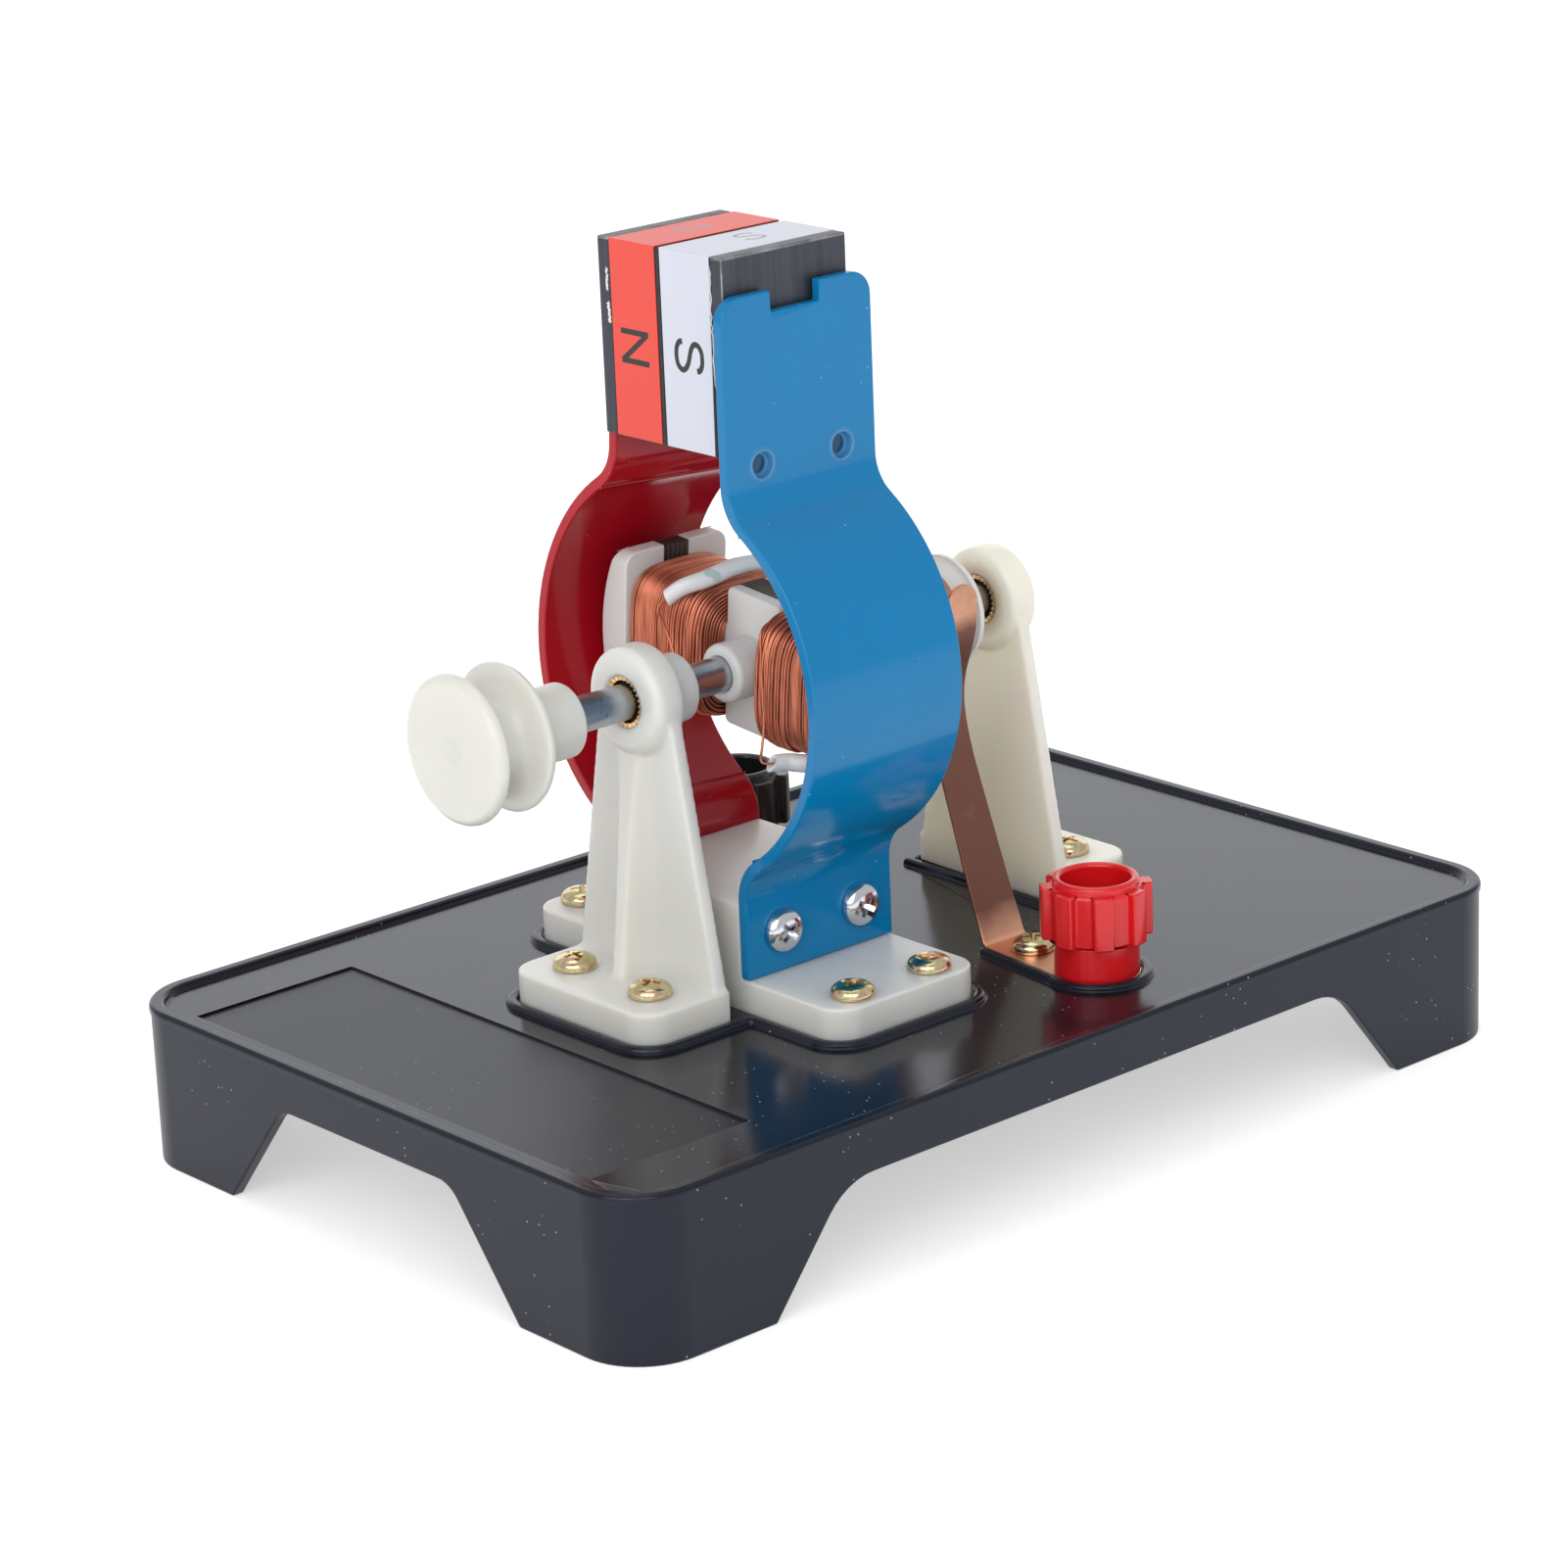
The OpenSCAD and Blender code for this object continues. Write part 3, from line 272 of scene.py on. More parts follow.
def leaf_copper():
    """Spring copper: bright at the foot, tarnished above, painted light at the tip where it bends to face up,
    with four small pits.
    """
    tip_from, foot_to, pit_r = 0.078, 0.0277, 0.00042
    f = Finish("leaf_copper", Metallic=1.0)
    cloud = f.noise(60.0, 4.0, 0.65)
    rolled = f.noise(420.0, 2.0, 0.6, (1.0, 1.0, 0.08))
    height = f.part("Z")
    # painted light: the tip is made lighter as if it faced up into the light
    tip = ((height - tip_from) * 300.0).clipped()
    above = ((height - foot_to) * 160.0).clipped()
    worn = (cloud * 1.1 - 0.30 + above * 0.9 - tip * 0.55).clipped()
    pits = 0.0
    for spot in LEAF_PITS:
        pits = pits + (f.reach(spot) < pit_r)
    skin = f.blend(worn, (0.98, 0.52, 0.33), (0.235, 0.108, 0.084))
    return f.surface(
        f.blend(pits * 0.7, skin, (0.10, 0.045, 0.03)),
        0.24 + worn * 0.20 + rolled * 0.12, rolled * 0.3 - pits, 0.12)


def enamelled_wire(name, light, dark):
    """Winding wire: its colour changes from strand to strand."""
    f = Finish(name, Metallic=0.75, Coat_Weight=0.3, Coat_Roughness=0.18)
    batch = f.noise(160.0, 3.0, 0.6)
    strand = f.noise(1100.0, 1.0, 0.5, (0.04, 1.0, 0.10))
    nick = f.noise(1500.0, 2.0)
    skin = f.blend(batch * 0.9 + strand * 2.2 - 1.05, light, dark)
    return f.surface(skin, 0.27 + batch * 0.14 + nick * 0.06, nick, 0.01)


def ferrite():
    """The magnets: gritty black with milling lines and chips."""
    f = Finish("ferrite_black", Metallic=0.25)
    grit = f.noise(1400.0, 3.0, 0.7)
    mill = f.noise(700.0, 2.0, 0.6, (0.05, 1.0, 1.0))
    chips = f.cells(240.0) < 0.10
    skin = f.blend(grit * 0.7 + chips * 0.4, (0.018, 0.018, 0.020), (0.055, 0.054, 0.055))
    return f.surface(skin, 0.5 + grit * 0.15 - mill * 0.12, grit * 0.6 + mill * 0.6 - chips * 0.7, 0.05)


def brushed_plate():
    """The outer iron plates: blackened and drawn across, bright where edges and corners are worn."""
    edge_z, top_z, side_y, end_x, corner_z = 0.1516, 0.15206, 0.01495, -0.0301, 0.1425
    f = Finish("blackened_plate", Metallic=0.75)
    drawn = f.noise(900.0, 3.0, 0.65, (1.0, 1.0, 0.035))
    cloud = f.noise(75.0, 3.0, 0.6)
    patchy = f.noise(260.0, 3.0, 0.6)
    along, across, up = f.part("X"), f.part("Y"), f.part("Z")
    top = ((up - edge_z) * 5000.0).clipped() * (1.0 - ((up - top_z) * 30000.0).clipped() * 0.7)
    side = across * across > side_y ** 2
    corner = ((end_x - along) * 4000.0).clipped() * (up > corner_z) * side
    worn = ((top + corner).clipped() * (patchy * 2.2 - 0.55)).clipped()
    skin = f.blend(drawn * 0.9 + cloud * 0.4 - 0.25, (0.032, 0.034, 0.042), (0.115, 0.12, 0.145))
    return f.surface(f.blend(worn * 0.8, skin, (0.52, 0.50, 0.49)), 0.36 + drawn * 0.22, drawn, 0.03)


def film(name, colour, faded):
    """The coloured film round the stack: a soft sheen over fine fibres."""
    f = Finish(name, Coat_Weight=0.25, Coat_Roughness=0.25, Specular_IOR_Level=0.4)
    sheen = f.noise(40.0, 2.0)
    fibre = f.noise(1300.0, 2.0)
    skin = f.blend(sheen * 1.5 - 0.3, colour, faded)
    return f.surface(skin, 0.42 + fibre * 0.1, sheen + fibre * 0.1, 0.06)


def stacked_iron():
    """The laminations: sheet after sheet along the shaft, with a little rust."""
    f = Finish("lamination_iron", Metallic=0.6)
    sheet = f.node("ShaderNodeTexWave", {"wave_type": "BANDS", "bands_direction": "X"}, {
        "Vector": f.place, "Scale": 320.0, "Distortion": 0.2, "Detail": 1.0}, "Fac")
    rust = f.noise(300.0, 3.0, 0.6)
    stack = f.blend(sheet, (0.02, 0.02, 0.02), (0.10, 0.095, 0.09))
    skin = f.blend(rust * 1.3 - 0.2, stack, (0.075, 0.05, 0.035))
    return f.surface(skin, 0.40 + rust * 0.25, sheet, 0.06)


TUBE_SMUDGES = ((-16.2, 7.7, 94.3), (-15.2, 7.3, 93.4), (-19.2, -12.3, 65.4), (-18.0, -13.6, 65.2))


def milky_tube():
    """The sleeves: translucent tubing with greenish smudges."""
    smudge_r = 0.00115
    f = Finish("sleeve_tubing", IOR=1.45, Coat_Weight=0.2, Coat_Roughness=0.2,
               Subsurface_Weight=0.35, Subsurface_Radius=(1.0, 1.0, 0.95), Subsurface_Scale=0.002)
    lint = f.noise(500.0, 3.0, 0.6)
    smudge = f.noise(900.0, 2.0)
    mark = 0.0
    for spot in TUBE_SMUDGES:
        mark = mark + ((smudge_r - f.reach(spot)) * 2500.0 - 0.6 + smudge).clipped()
    skin = f.blend(mark.clipped() * 0.6, (0.86, 0.88, 0.88), (0.30, 0.52, 0.50))
    return f.surface(skin, 0.3 + lint * 0.2, lint, 0.03)


def ink(name, colour):
    f = Finish(name)
    wear = f.noise(900.0, 2.0)
    paler = [min(1.0, c * 1.25 + 0.01) for c in colour]
    return f.surface(f.blend(wear, colour, paler), 0.45 + wear * 0.1, wear, 0.01)


def dried_glue():
    f = Finish("dried_glue", IOR=1.45,
               Subsurface_Weight=0.3, Subsurface_Radius=(1.0, 1.0, 1.0), Subsurface_Scale=0.001)
    lump = f.noise(800.0, 3.0, 0.6)
    skin = f.blend(lump, (0.72, 0.71, 0.68), (0.86, 0.86, 0.84))
    return f.surface(skin, 0.45 + lump * 0.2, lump, 0.1)


# middles of the mouths of the strips' spare holes, mm
BLUE_HOLES = ((-25.5, -17.5, 118.4), (-8.5, -17.5, 118.4))
RED_HOLES = ((-20.71, 17.5, 118.77), (-3.74, 17.5, 117.74))
FINISH = {
    "base": shiny_black(),
    "cream": moulded("cream_plastic", (0.75, 0.735, 0.69), (0.70, 0.68, 0.63), 0.28, 0.08, 0.6),
    # the rear post's cream is a lighter copy of the cream: painted light in place of light the rear post lacks;
    # its yellower tone and the oil ring are its own
    "cream_oiled_painted_light": moulded("oiled_cream_plastic_painted_light", (0.94, 0.89, 0.775), (0.90, 0.835, 0.69), 0.28, 0.08,
                           0.6, stain=bearing_oil),
    "ivory": moulded("ivory_plastic", (0.665, 0.66, 0.62), (0.64, 0.63, 0.575), 0.24, 0.1, 0.4),
    "white": moulded("white_plastic", (0.76, 0.755, 0.73), (0.70, 0.69, 0.66), 0.33, 0.05, 0.2),
    "blue": enamel("blue_enamel", (0.001, 0.192, 0.432), (0.001, 0.168, 0.390), (0.62, 0.74, 0.82),
                   BLUE_HOLES, (0.001, 0.030, 0.085)),
    "red": enamel("red_enamel", (0.44, 0.005, 0.015), (0.37, 0.003, 0.011), (0.62, 0.35, 0.36),
                  RED_HOLES, (0.075, 0.002, 0.004)),
    "bright": plated("bright_plating", (0.72, 0.74, 0.78), (0.60, 0.61, 0.64), 0.06),
    "yellow": plated("yellow_zinc", (0.66, 0.55, 0.28), (0.46, 0.36, 0.17), 0.09, True),
    "nut": plated("zinc_plating", (0.60, 0.59, 0.54), (0.48, 0.47, 0.43), 0.25),
    "brass": plated("turned_brass", (0.66, 0.47, 0.18), (0.52, 0.36, 0.13), 0.2),
    "steel": turned_steel(),
    "bronze": sintered(),
    "copper": copper_sheet(),
    "leaf": leaf_copper(),
    "wire": enamelled_wire("coil_wire", (0.90, 0.315, 0.18), (0.46, 0.125, 0.066)),
    # the wire below is a darker copy of the coil wire: painted shade between the strands
    "wire_painted_shade": enamelled_wire("coil_wire_below_painted_shade", (0.26, 0.075, 0.04), (0.15, 0.04, 0.022)),
    # the coil's depth is a darker copy of the wire still: painted shade between the strands
    "core": enamelled_wire("coil_depth_painted_shade", (0.16, 0.045, 0.024), (0.09, 0.025, 0.014)),
    "ferrite": ferrite(),
    "plate": brushed_plate(),
    "red_film": film("red_film", (0.77, 0.058, 0.034), (0.73, 0.050, 0.029)),
    "white_film": film("white_film", (0.62, 0.635, 0.71), (0.59, 0.605, 0.685)),
    "iron": stacked_iron(),
    "tube": milky_tube(),
    "red_plastic": moulded("red_plastic", (0.74, 0.010, 0.014), (0.64, 0.007, 0.010), 0.18, 0.15, 0.05,
                           0.01, 0.03),
    "black_plastic": moulded("black_plastic", (0.012, 0.012, 0.013), (0.02, 0.02, 0.021), 0.2, 0.25,
                             grain=0.015, shade=0.04),
    "black_ink": ink("black_ink", (0.012, 0.011, 0.011)),
    "grey_ink": ink("grey_ink", (0.30, 0.28, 0.30)),
    "glue": dried_glue(),
}


# the bodies that pieces ride on
STAND = "stand"
ROTOR = "rotor"
STACK = "magnet_stack"

RED_LEAN = 3.5  # lean of the red strip, degrees

# routes in the armature's own frame, in mm
SLEEVE_A = ((-21.0, 14.1, 9.1), (-19.6, 11.8, 11.4), (-16.0, 9.8, 12.7), (-11.0, 9.0, 13.8), (-5.0, 8.2, 13.7),
            (1.0, 6.3, 12.9), (7.0, 4.5, 10.9), (11.4, 3.3, 9.6))
SLEEVE_B = ((-21.0, -12.7, -11.9), (-18.5, -14.0, -11.9), (-15.5, -16.6, -11.9), (-8.0, -15.2, -12.0),
            (0.0, -12.2, -11.9), (6.0, -7.1, -10.8), (11.4, -3.3, -9.6))
LEAD_A = ((-13.0, 6.95, -11.0), (-19.0, 7.6, -9.7), (-20.3, 10.2, -6.0), (-20.35, 12.6, -1.0), (-20.6, 14.9, 3.6),
          (-21.4, 15.7, 6.2), (-21.4, 15.1, 8.0), (-20.9, 14.0, 9.3), (-20.2, 12.8, 10.5))
LEAD_B = ((-13.0, 6.95, -11.0), (-19.0, 7.6, -9.7), (-20.3, 8.6, -6.0), (-20.35, 9.2, 0.0), (-20.4, 9.9, 6.0),
          (-21.3, 10.6, 9.6), (-22.3, 11.5, 11.4), (-21.8, 12.2, 11.9), (-20.1, 13.2, 11.9))


# ---- meshes ----

def linked(name, data):
    """A new object in the scene."""
    made = bpy.data.objects.new(name, data)
    bpy.context.scene.collection.objects.link(made)
    return made


def modify(piece, kind, **settings):
    """A new modifier with its settings."""
    added = piece.modifiers.new(kind.lower(), kind)
    for key, value in settings.items():
        setattr(added, key, value)
    return added


def mesh_object(name, mesh, finish, body, node=None):
    """A piece of the model. It stands in for the CAD node, if one is named."""
    piece = linked(name, mesh)
    mesh.materials.clear()
    mesh.materials.append(FINISH[finish].material)
    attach(piece, body)
    if node:
        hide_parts(node)


def plain_mesh(bm, name):
    mesh = bpy.data.meshes.new(name)
    bm.to_mesh(mesh)
    bm.free()
    return mesh


def from_bmesh(bm, name, smooth_angle=None):
    """A mesh with its faces turned outwards, smooth except where it bends by more than the angle."""
    bmesh.ops.recalc_face_normals(bm, faces=bm.faces)
    mesh = plain_mesh(bm, name)
    if smooth_angle is not None:
        shade(mesh, smooth_angle)
    return mesh


def shade(mesh, smooth_angle):
    mesh.shade_smooth()
    mesh.set_sharp_from_angle(angle=math.radians(smooth_angle))


def evaluated(obj, name):
    """A plain mesh of an object with its modifiers applied; the object is removed."""
    view = bpy.context.evaluated_depsgraph_get()
    mesh = bpy.data.meshes.new_from_object(obj.evaluated_get(view))
    mesh.name = name
    bpy.data.objects.remove(obj)
    return mesh


def welded(node, flat_angle=0.6):
    """The node's triangles joined up, with flat areas made one face each."""
    bm = bmesh.new()
    bm.from_mesh(NODES[node].data)
    bmesh.ops.remove_doubles(bm, verts=bm.verts, dist=2e-6)
    if flat_angle:
        bmesh.ops.dissolve_limit(bm, angle_limit=math.radians(flat_angle), verts=bm.verts, edges=bm.edges)
    return bm


def around(sides):
    """The angles of the points of a ring."""
    return [2 * math.pi * k / sides for k in range(sides)]


def join_rings(bm, rings):
    """Faces from each ring of points to the next. A ring of one point is a tip."""
    for low, high in zip(rings, rings[1:]):
        for k in range(max(len(low), len(high))):
            n = k + 1
            corners = (low[k % len(low)], low[n % len(low)], high[n % len(high)], high[k % len(high)])
            bm.faces.new(list(dict.fromkeys(corners)))


def between(table, at):
    """The value at a place, in proportion between the rows of a table."""
    if at <= table[0][0]:
        return table[0][1]
    for (x0, y0), (x1, y1) in zip(table, table[1:]):
        if at <= x1:
            t = (at - x0) / (x1 - x0)
            return y0 + (y1 - y0) * t
    return table[-1][1]


# height, and how far the leaf stands further in there than a straight one
LEAF_BOW = (
    (28.3, 0.0), (31.0, 0.55), (34.3, 1.4), (38.5, 2.25), (43.2, 3.2), (52.0, 4.95), (56.0, 5.7), (59.5, 6.1),
    (62.5, 6.2), (65.5, 5.95), (68.5, 5.15), (71.0, 4.0), (73.5, 2.55), (76.0, 1.15), (78.5, 0.0),
    (81.0, -0.75), (83.5, -1.45), (86.6, -2.3),
)


def leaf_bow(bm):
    """The leaf leans in steeply, then bends back upright along the commutator."""
    inward = 1.0 if sum(v.co.y for v in bm.verts) < 0 else -1.0
    level, top, step = 29.0, 86.0, 1.5
    while level < top:
        every = list(bm.verts) + list(bm.edges) + list(bm.faces)
        bmesh.ops.bisect_plane(bm, geom=every, dist=1e-7, plane_co=(0.0, 0.0, level * MM), plane_no=UP)
        level += step
    for v in bm.verts:
        v.co.y += inward * between(LEAF_BOW, v.co.z / MM) * MM


def plate_flush(bm):
    """The plates' tops stand level with the film."""
    top_from, level = 0.1515, 0.1521
    for v in bm.verts:
        if v.co.z > top_from:
            v.co.z = level


def film_trimmed(bm):
    """A slightly wider dark line between the films, and no gap towards the near plate on top."""
    seam, widen = 0.001, 0.0002
    near_from, near_edge, top_from = -0.0118, -0.01238, 0.1514
    for v in bm.verts:
        if abs(v.co.y) < seam:
            v.co.y += math.copysign(widen, v.co.y)
        if v.co.y < near_from and v.co.z > top_from:
            v.co.y = near_edge


def base_edge(middle):
    """The beads round the feet are the base's roundest edges, the groove and the panel's step the sharpest."""
    groove_z, bead_from = 26.5, 27.3
    panel_z, panel_x, near_x, panel_y = (26.4, 27.2), (-96.0, -45.0), -90.0, 62.0
    x, y, z = (c / MM for c in middle)
    if z > bead_from:
        return 1.0
    if abs(z - groove_z) < 0.04:
        return 0.15
    if panel_z[0] < z < panel_z[1] and panel_x[0] < x < panel_x[1] and abs(y) < panel_y:
        return 0.16 if x > near_x else 0.0
    return 0.5


def armature_edge(middle):
    """The boss beside the shaft is the roundest part of the moulded halves."""
    beside, inner_r, outer_r = 0.0115, 0.0033, 0.0062
    away = math.hypot(middle.y, middle.z - AXIS_Z * MM)
    return 1.0 if abs(middle.x - ARM_X * MM) > beside and inner_r < away < outer_r else 0.4


def knob_edge(middle):
    """The ribs are rounded, the turned lip has its own round already."""
    terminal_x, terminal_y, ribs_from = 0.0196, 0.045, 0.0076
    return 1.0 if math.hypot(middle.x - terminal_x, abs(middle.y) - terminal_y) > ribs_from else 0.2


SHARP = math.radians(32.0)


def weigh_edges(bm, grade):
    """Marks the edges that get a round, each with its share of the width."""
    weights = bm.edges.layers.float.new("bevel_weight_edge")
    for edge in bm.edges:
        if len(edge.link_faces) == 2 and edge.calc_face_angle() > SHARP:
            middle = (edge.verts[0].co + edge.verts[1].co) / 2
            edge[weights] = grade(middle) if grade else 1.0


def softened(node, width_mm, finish, body, slot, rows, form=None, grade=None):
    """The node's own shape with its sharp edges rounded as the moulded or sawn piece has them."""
    bm = welded(node)
    if form:
        form(bm)
    bm.normal_update()
    weigh_edges(bm, grade)
    mesh = plain_mesh(bm, node + "_raw")
    low = [min(v.co[i] for v in mesh.vertices) for i in range(3)]
    high = [max(v.co[i] for v in mesh.vertices) for i in range(3)]
    mesh.shade_smooth()
    piece = linked(node + "_raw", mesh)
    modify(piece, "BEVEL", width=width_mm * MM, segments=rows, limit_method="WEIGHT",
           use_clamp_overlap=False, miter_outer="MITER_ARC")
    modify(piece, "WEIGHTED_NORMAL", weight=80)
    done = evaluated(piece, node + "_soft")
    for v in done.vertices:
        v.co = [min(max(v.co[i], low[i]), high[i]) for i in range(3)]
    mesh_object(node + "_soft", done, finish, body, node)


def melted(node, cell_mm, passes, finish, body):
    """A thick moulding: every edge and inner corner of the node runs round softly."""
    piece = linked(node + "_raw", plain_mesh(welded(node, 0.0), node + "_raw"))
    modify(piece, "REMESH", mode="VOXEL", voxel_size=cell_mm * MM, use_smooth_shade=True)
    modify(piece, "SMOOTH", factor=0.5, iterations=passes)
    mesh_object(node + "_melted", evaluated(piece, node + "_melted"), finish, body, node)


# ---- shape trees ----

class ShapeTree:
    """A Geometry Nodes tree with named inputs that ends in plain mesh and a finish."""

    def __init__(self, name, **inputs):
        self.tree = bpy.data.node_groups.new(name, "GeometryNodeTree")
        face = self.tree.interface
        face.new_socket("Geometry", in_out="INPUT", socket_type="NodeSocketGeometry")
        face.new_socket("Geometry", in_out="OUTPUT", socket_type="NodeSocketGeometry")
        for key, kind in inputs.items():
            face.new_socket(key, in_out="INPUT", socket_type=kind)
        face.new_socket("Finish", in_out="INPUT", socket_type="NodeSocketMaterial")
        self.given = self.tree.nodes.new("NodeGroupInput").outputs

    def node(self, kind, settings, values):
        return add_node(self.tree, kind, settings, values).outputs

    def close(self, geometry):
        real = self.node("GeometryNodeRealizeInstances", {}, {"Geometry": geometry})["Geometry"]
        done = self.node("GeometryNodeSetMaterial", {}, {"Geometry": real, "Material": self.given["Finish"]})
        result = self.tree.nodes.new("NodeGroupOutput")
        self.tree.links.new(done["Geometry"], result.inputs["Geometry"])
        return self.tree

    def applied(self, start, name, finish, **values):
        """The tree's result on a starting mesh, as a plain mesh."""
        base = linked(name + "_start", start)
        step = modify(base, "NODES", node_group=self.tree)
        values["Finish"] = FINISH[finish].material
        for item in self.tree.interface.items_tree:
            if item.in_out == "INPUT" and item.name in values:
                step[item.identifier] = values[item.name]
        return evaluated(base, name)


def strand_tree():
    """A round wire along a line of points."""
    shape = ShapeTree("wire_along_line", Radius="NodeSocketFloat", Sides="NodeSocketInt")
    line = shape.node("GeometryNodeMeshToCurve", {}, {"Mesh": shape.given["Geometry"]})["Curve"]
    round_end = shape.node("GeometryNodeCurvePrimitiveCircle", {"mode": "RADIUS"}, {
        "Resolution": shape.given["Sides"], "Radius": shape.given["Radius"]})["Curve"]
    tube = shape.node("GeometryNodeCurveToMesh", {}, {
        "Curve": line, "Profile Curve": round_end, "Fill Caps": True})["Mesh"]
    soft = shape.node("GeometryNodeSetShadeSmooth", {}, {"Geometry": tube})["Geometry"]
    shape.close(soft)
    return shape


def fastener_tree():
    """The same fastener at every point, its axis and turn given by the point."""
    shape = ShapeTree("fastener_at_points", Fastener="NodeSocketObject")

    def given_by_point(name, kind):
        return shape.node("GeometryNodeInputNamedAttribute", {"data_type": kind}, {"Name": name})["Attribute"]

    stand = shape.node("FunctionNodeAlignRotationToVector", {"axis": "Z"}, {
        "Vector": given_by_point("axis", "FLOAT_VECTOR")})["Rotation"]
    twist = shape.node("FunctionNodeAxisAngleToRotation", {}, {
        "Axis": UP, "Angle": given_by_point("spin", "FLOAT")})["Rotation"]
    turned = shape.node("FunctionNodeRotateRotation", {"rotation_space": "LOCAL"}, {
        "Rotation": stand, "Rotate By": twist})["Rotation"]
    one = shape.node("GeometryNodeObjectInfo", {}, {
        "Object": shape.given["Fastener"], "As Instance": True})["Geometry"]
    many = shape.node("GeometryNodeInstanceOnPoints", {}, {
        "Points": shape.given["Geometry"], "Instance": one, "Rotation": turned})["Instances"]
    shape.close(many)
    return shape


STRAND = strand_tree()
FASTENERS = fastener_tree()


def line_mesh(name, points_mm, joined=True):
    """Points, and edges from each to the next if they are joined."""
    mesh = bpy.data.meshes.new(name)
    edges = [(i, i + 1) for i in range(len(points_mm) - 1)] if joined else []
    mesh.from_pydata([tuple(c * MM for c in p) for p in points_mm], edges, [])
    return mesh


def wire(name, points_mm, radius_mm, finish, body, sides=6, node=None):
    mesh = STRAND.applied(line_mesh(name + "_line", points_mm), name, finish, Radius=radius_mm * MM, Sides=sides)
    mesh_object(name, mesh, finish, body, node)


# ---- screws ----

def turned_body(bm, rows, sides):
    """A closed turned body: rows of (radius or function of the angle, height), ends on the axis."""
    rings = []
    for radius, height in rows:
        ring = []
        for a in around(sides) if radius else (0.0,):
            r = radius(a) if callable(radius) else radius
            ring.append(bm.verts.new((r * math.cos(a) * MM, r * math.sin(a) * MM, height * MM)))
        rings.append(ring)
    join_rings(bm, rings)


def thread_rows(radius, depth, pitch, low, high):
    """Rows of a screw thread from low to high, six to a turn."""
    rows = []
    count = int((high - low) / pitch * 6)
    for i in range(count + 1):
        h = low + (high - low) * i / count

        def at(angle, h=h):
            phase = (h / pitch - angle / (2 * math.pi)) % 1.0
            return radius - depth * abs(2 * phase - 1)

        rows.append((at, h))
    return rows


def pan_screw(name, length, thread_to):
    """An M4 pan head with a cross recess; the head stands on z = 0 and the shank hangs below."""
    sides, tip_r, thread_r, shank_r, thread_depth, pitch, lead_in = 28, 1.45, 2.0, 1.95, 0.32, 0.7, 0.35
    head_r, shoulder, top, dome_rows = 3.70, 0.62, 2.28, 9
    bm = bmesh.new()
    rows = [(0, -length), (tip_r, -length)]
    rows += thread_rows(thread_r, thread_depth, pitch, -length + lead_in, thread_to)
    rows += [(shank_r, thread_to + 0.1), (shank_r, 0.0)]
    rows += [(3.52, 0.0), (3.72, 0.12), (3.75, 0.34), (head_r, shoulder)]
    for i in range(1, dome_rows):
        a = math.radians(90.0 * i / dome_rows)
        rows.append((head_r * math.cos(a) ** 0.62, shoulder + (top - shoulder) * math.sin(a)))
    rows.append((0, top))
    turned_body(bm, rows, sides)
    body = linked(name + "_body", from_bmesh(bm, name + "_body"))
    cut = bmesh.new()
    for turn in (0.0, math.pi / 2):
        c, s = math.cos(turn), math.sin(turn)
        for v in bmesh.ops.create_cube(cut, size=1.0)["verts"]:
            half_l, half_w, z = (0.9, 0.22, top - 1.6) if v.co.z < 0 else (2.35, 0.50, top + 0.4)
            x, y = math.copysign(half_l, v.co.x), math.copysign(half_w, v.co.y)
            v.co = Vector(((x * c - y * s) * MM, (x * s + y * c) * MM, z * MM))
    cross = linked(name + "_cross", from_bmesh(cut, name + "_cross"))
    modify(body, "BOOLEAN", operation="DIFFERENCE", solver="EXACT", use_self=True, object=cross)
    mesh = evaluated(body, name)
    bpy.data.objects.remove(cross)
    shade(mesh, 34.0)
    return linked(name, mesh)


def fasten(name, node, screw, places, facings, finish, seed):
    """The screw at every place, its head facing as given and its turn left to chance."""
    turns = random.Random(seed)
    mesh = line_mesh(name + "_spots", places, joined=False)
    mesh.attributes.new("axis", "FLOAT_VECTOR", "POINT")
    mesh.attributes.new("spin", "FLOAT", "POINT")
    for i, facing in enumerate(facings):
        mesh.attributes["axis"].data[i].vector = facing
        mesh.attributes["spin"].data[i].value = turns.uniform(0.0, math.pi / 2)
    done = FASTENERS.applied(mesh, name, finish, Fastener=screw)
    mesh_object(name, done, finish, STAND, node)


def all_screws():
    foot_z, leaf_z, strip_z, strip_y, apart = 33.0, 27.65, 40.2, 17.5, 8.5
    near, far = (0.0, -1.0, 0.0), (0.0, 1.0, 0.0)
    long_screw = pan_screw("foot_screw", 13.8, -8.0)
    short_screw = pan_screw("leaf_screw", 8.45, -4.4)
    strip_screw = pan_screw("strip_screw", 9.5, -3.5)
    stand_places = [(x, y, foot_z) for x in (-25.5, -8.5) for y in (-34.3, 34.3)]
    post_places = [(x, y, foot_z) for x in (-47.5, 48.4) for y in (-9.6, 9.6)]
    leaf_places = [(19.6, y, leaf_z) for y in (-29.8, 29.8)]
    lean = math.radians(RED_LEAN)
    strip_places = [(-17.0 + dx, -strip_y, strip_z) for dx in (-apart, apart)]
    strip_places += [(-17.0 + dx * math.cos(lean), strip_y, strip_z - dx * math.sin(lean))
                     for dx in (-apart, apart)]
    fasten("stand_screw_set", "stand_screws", long_screw, stand_places, [UP] * 4, "yellow", 3)
    fasten("post_screw_set", "post_screws", long_screw, post_places, [UP] * 4, "yellow", 8)
    fasten("leaf_screw_set", "brush_screws", short_screw, leaf_places, [UP] * 2, "yellow", 5)
    fasten("strip_screw_set", "strip_screws", strip_screw, strip_places, [near, near, far, far],
           "bright", 12)
    for used in (long_screw, short_screw, strip_screw):
        bpy.data.objects.remove(used)


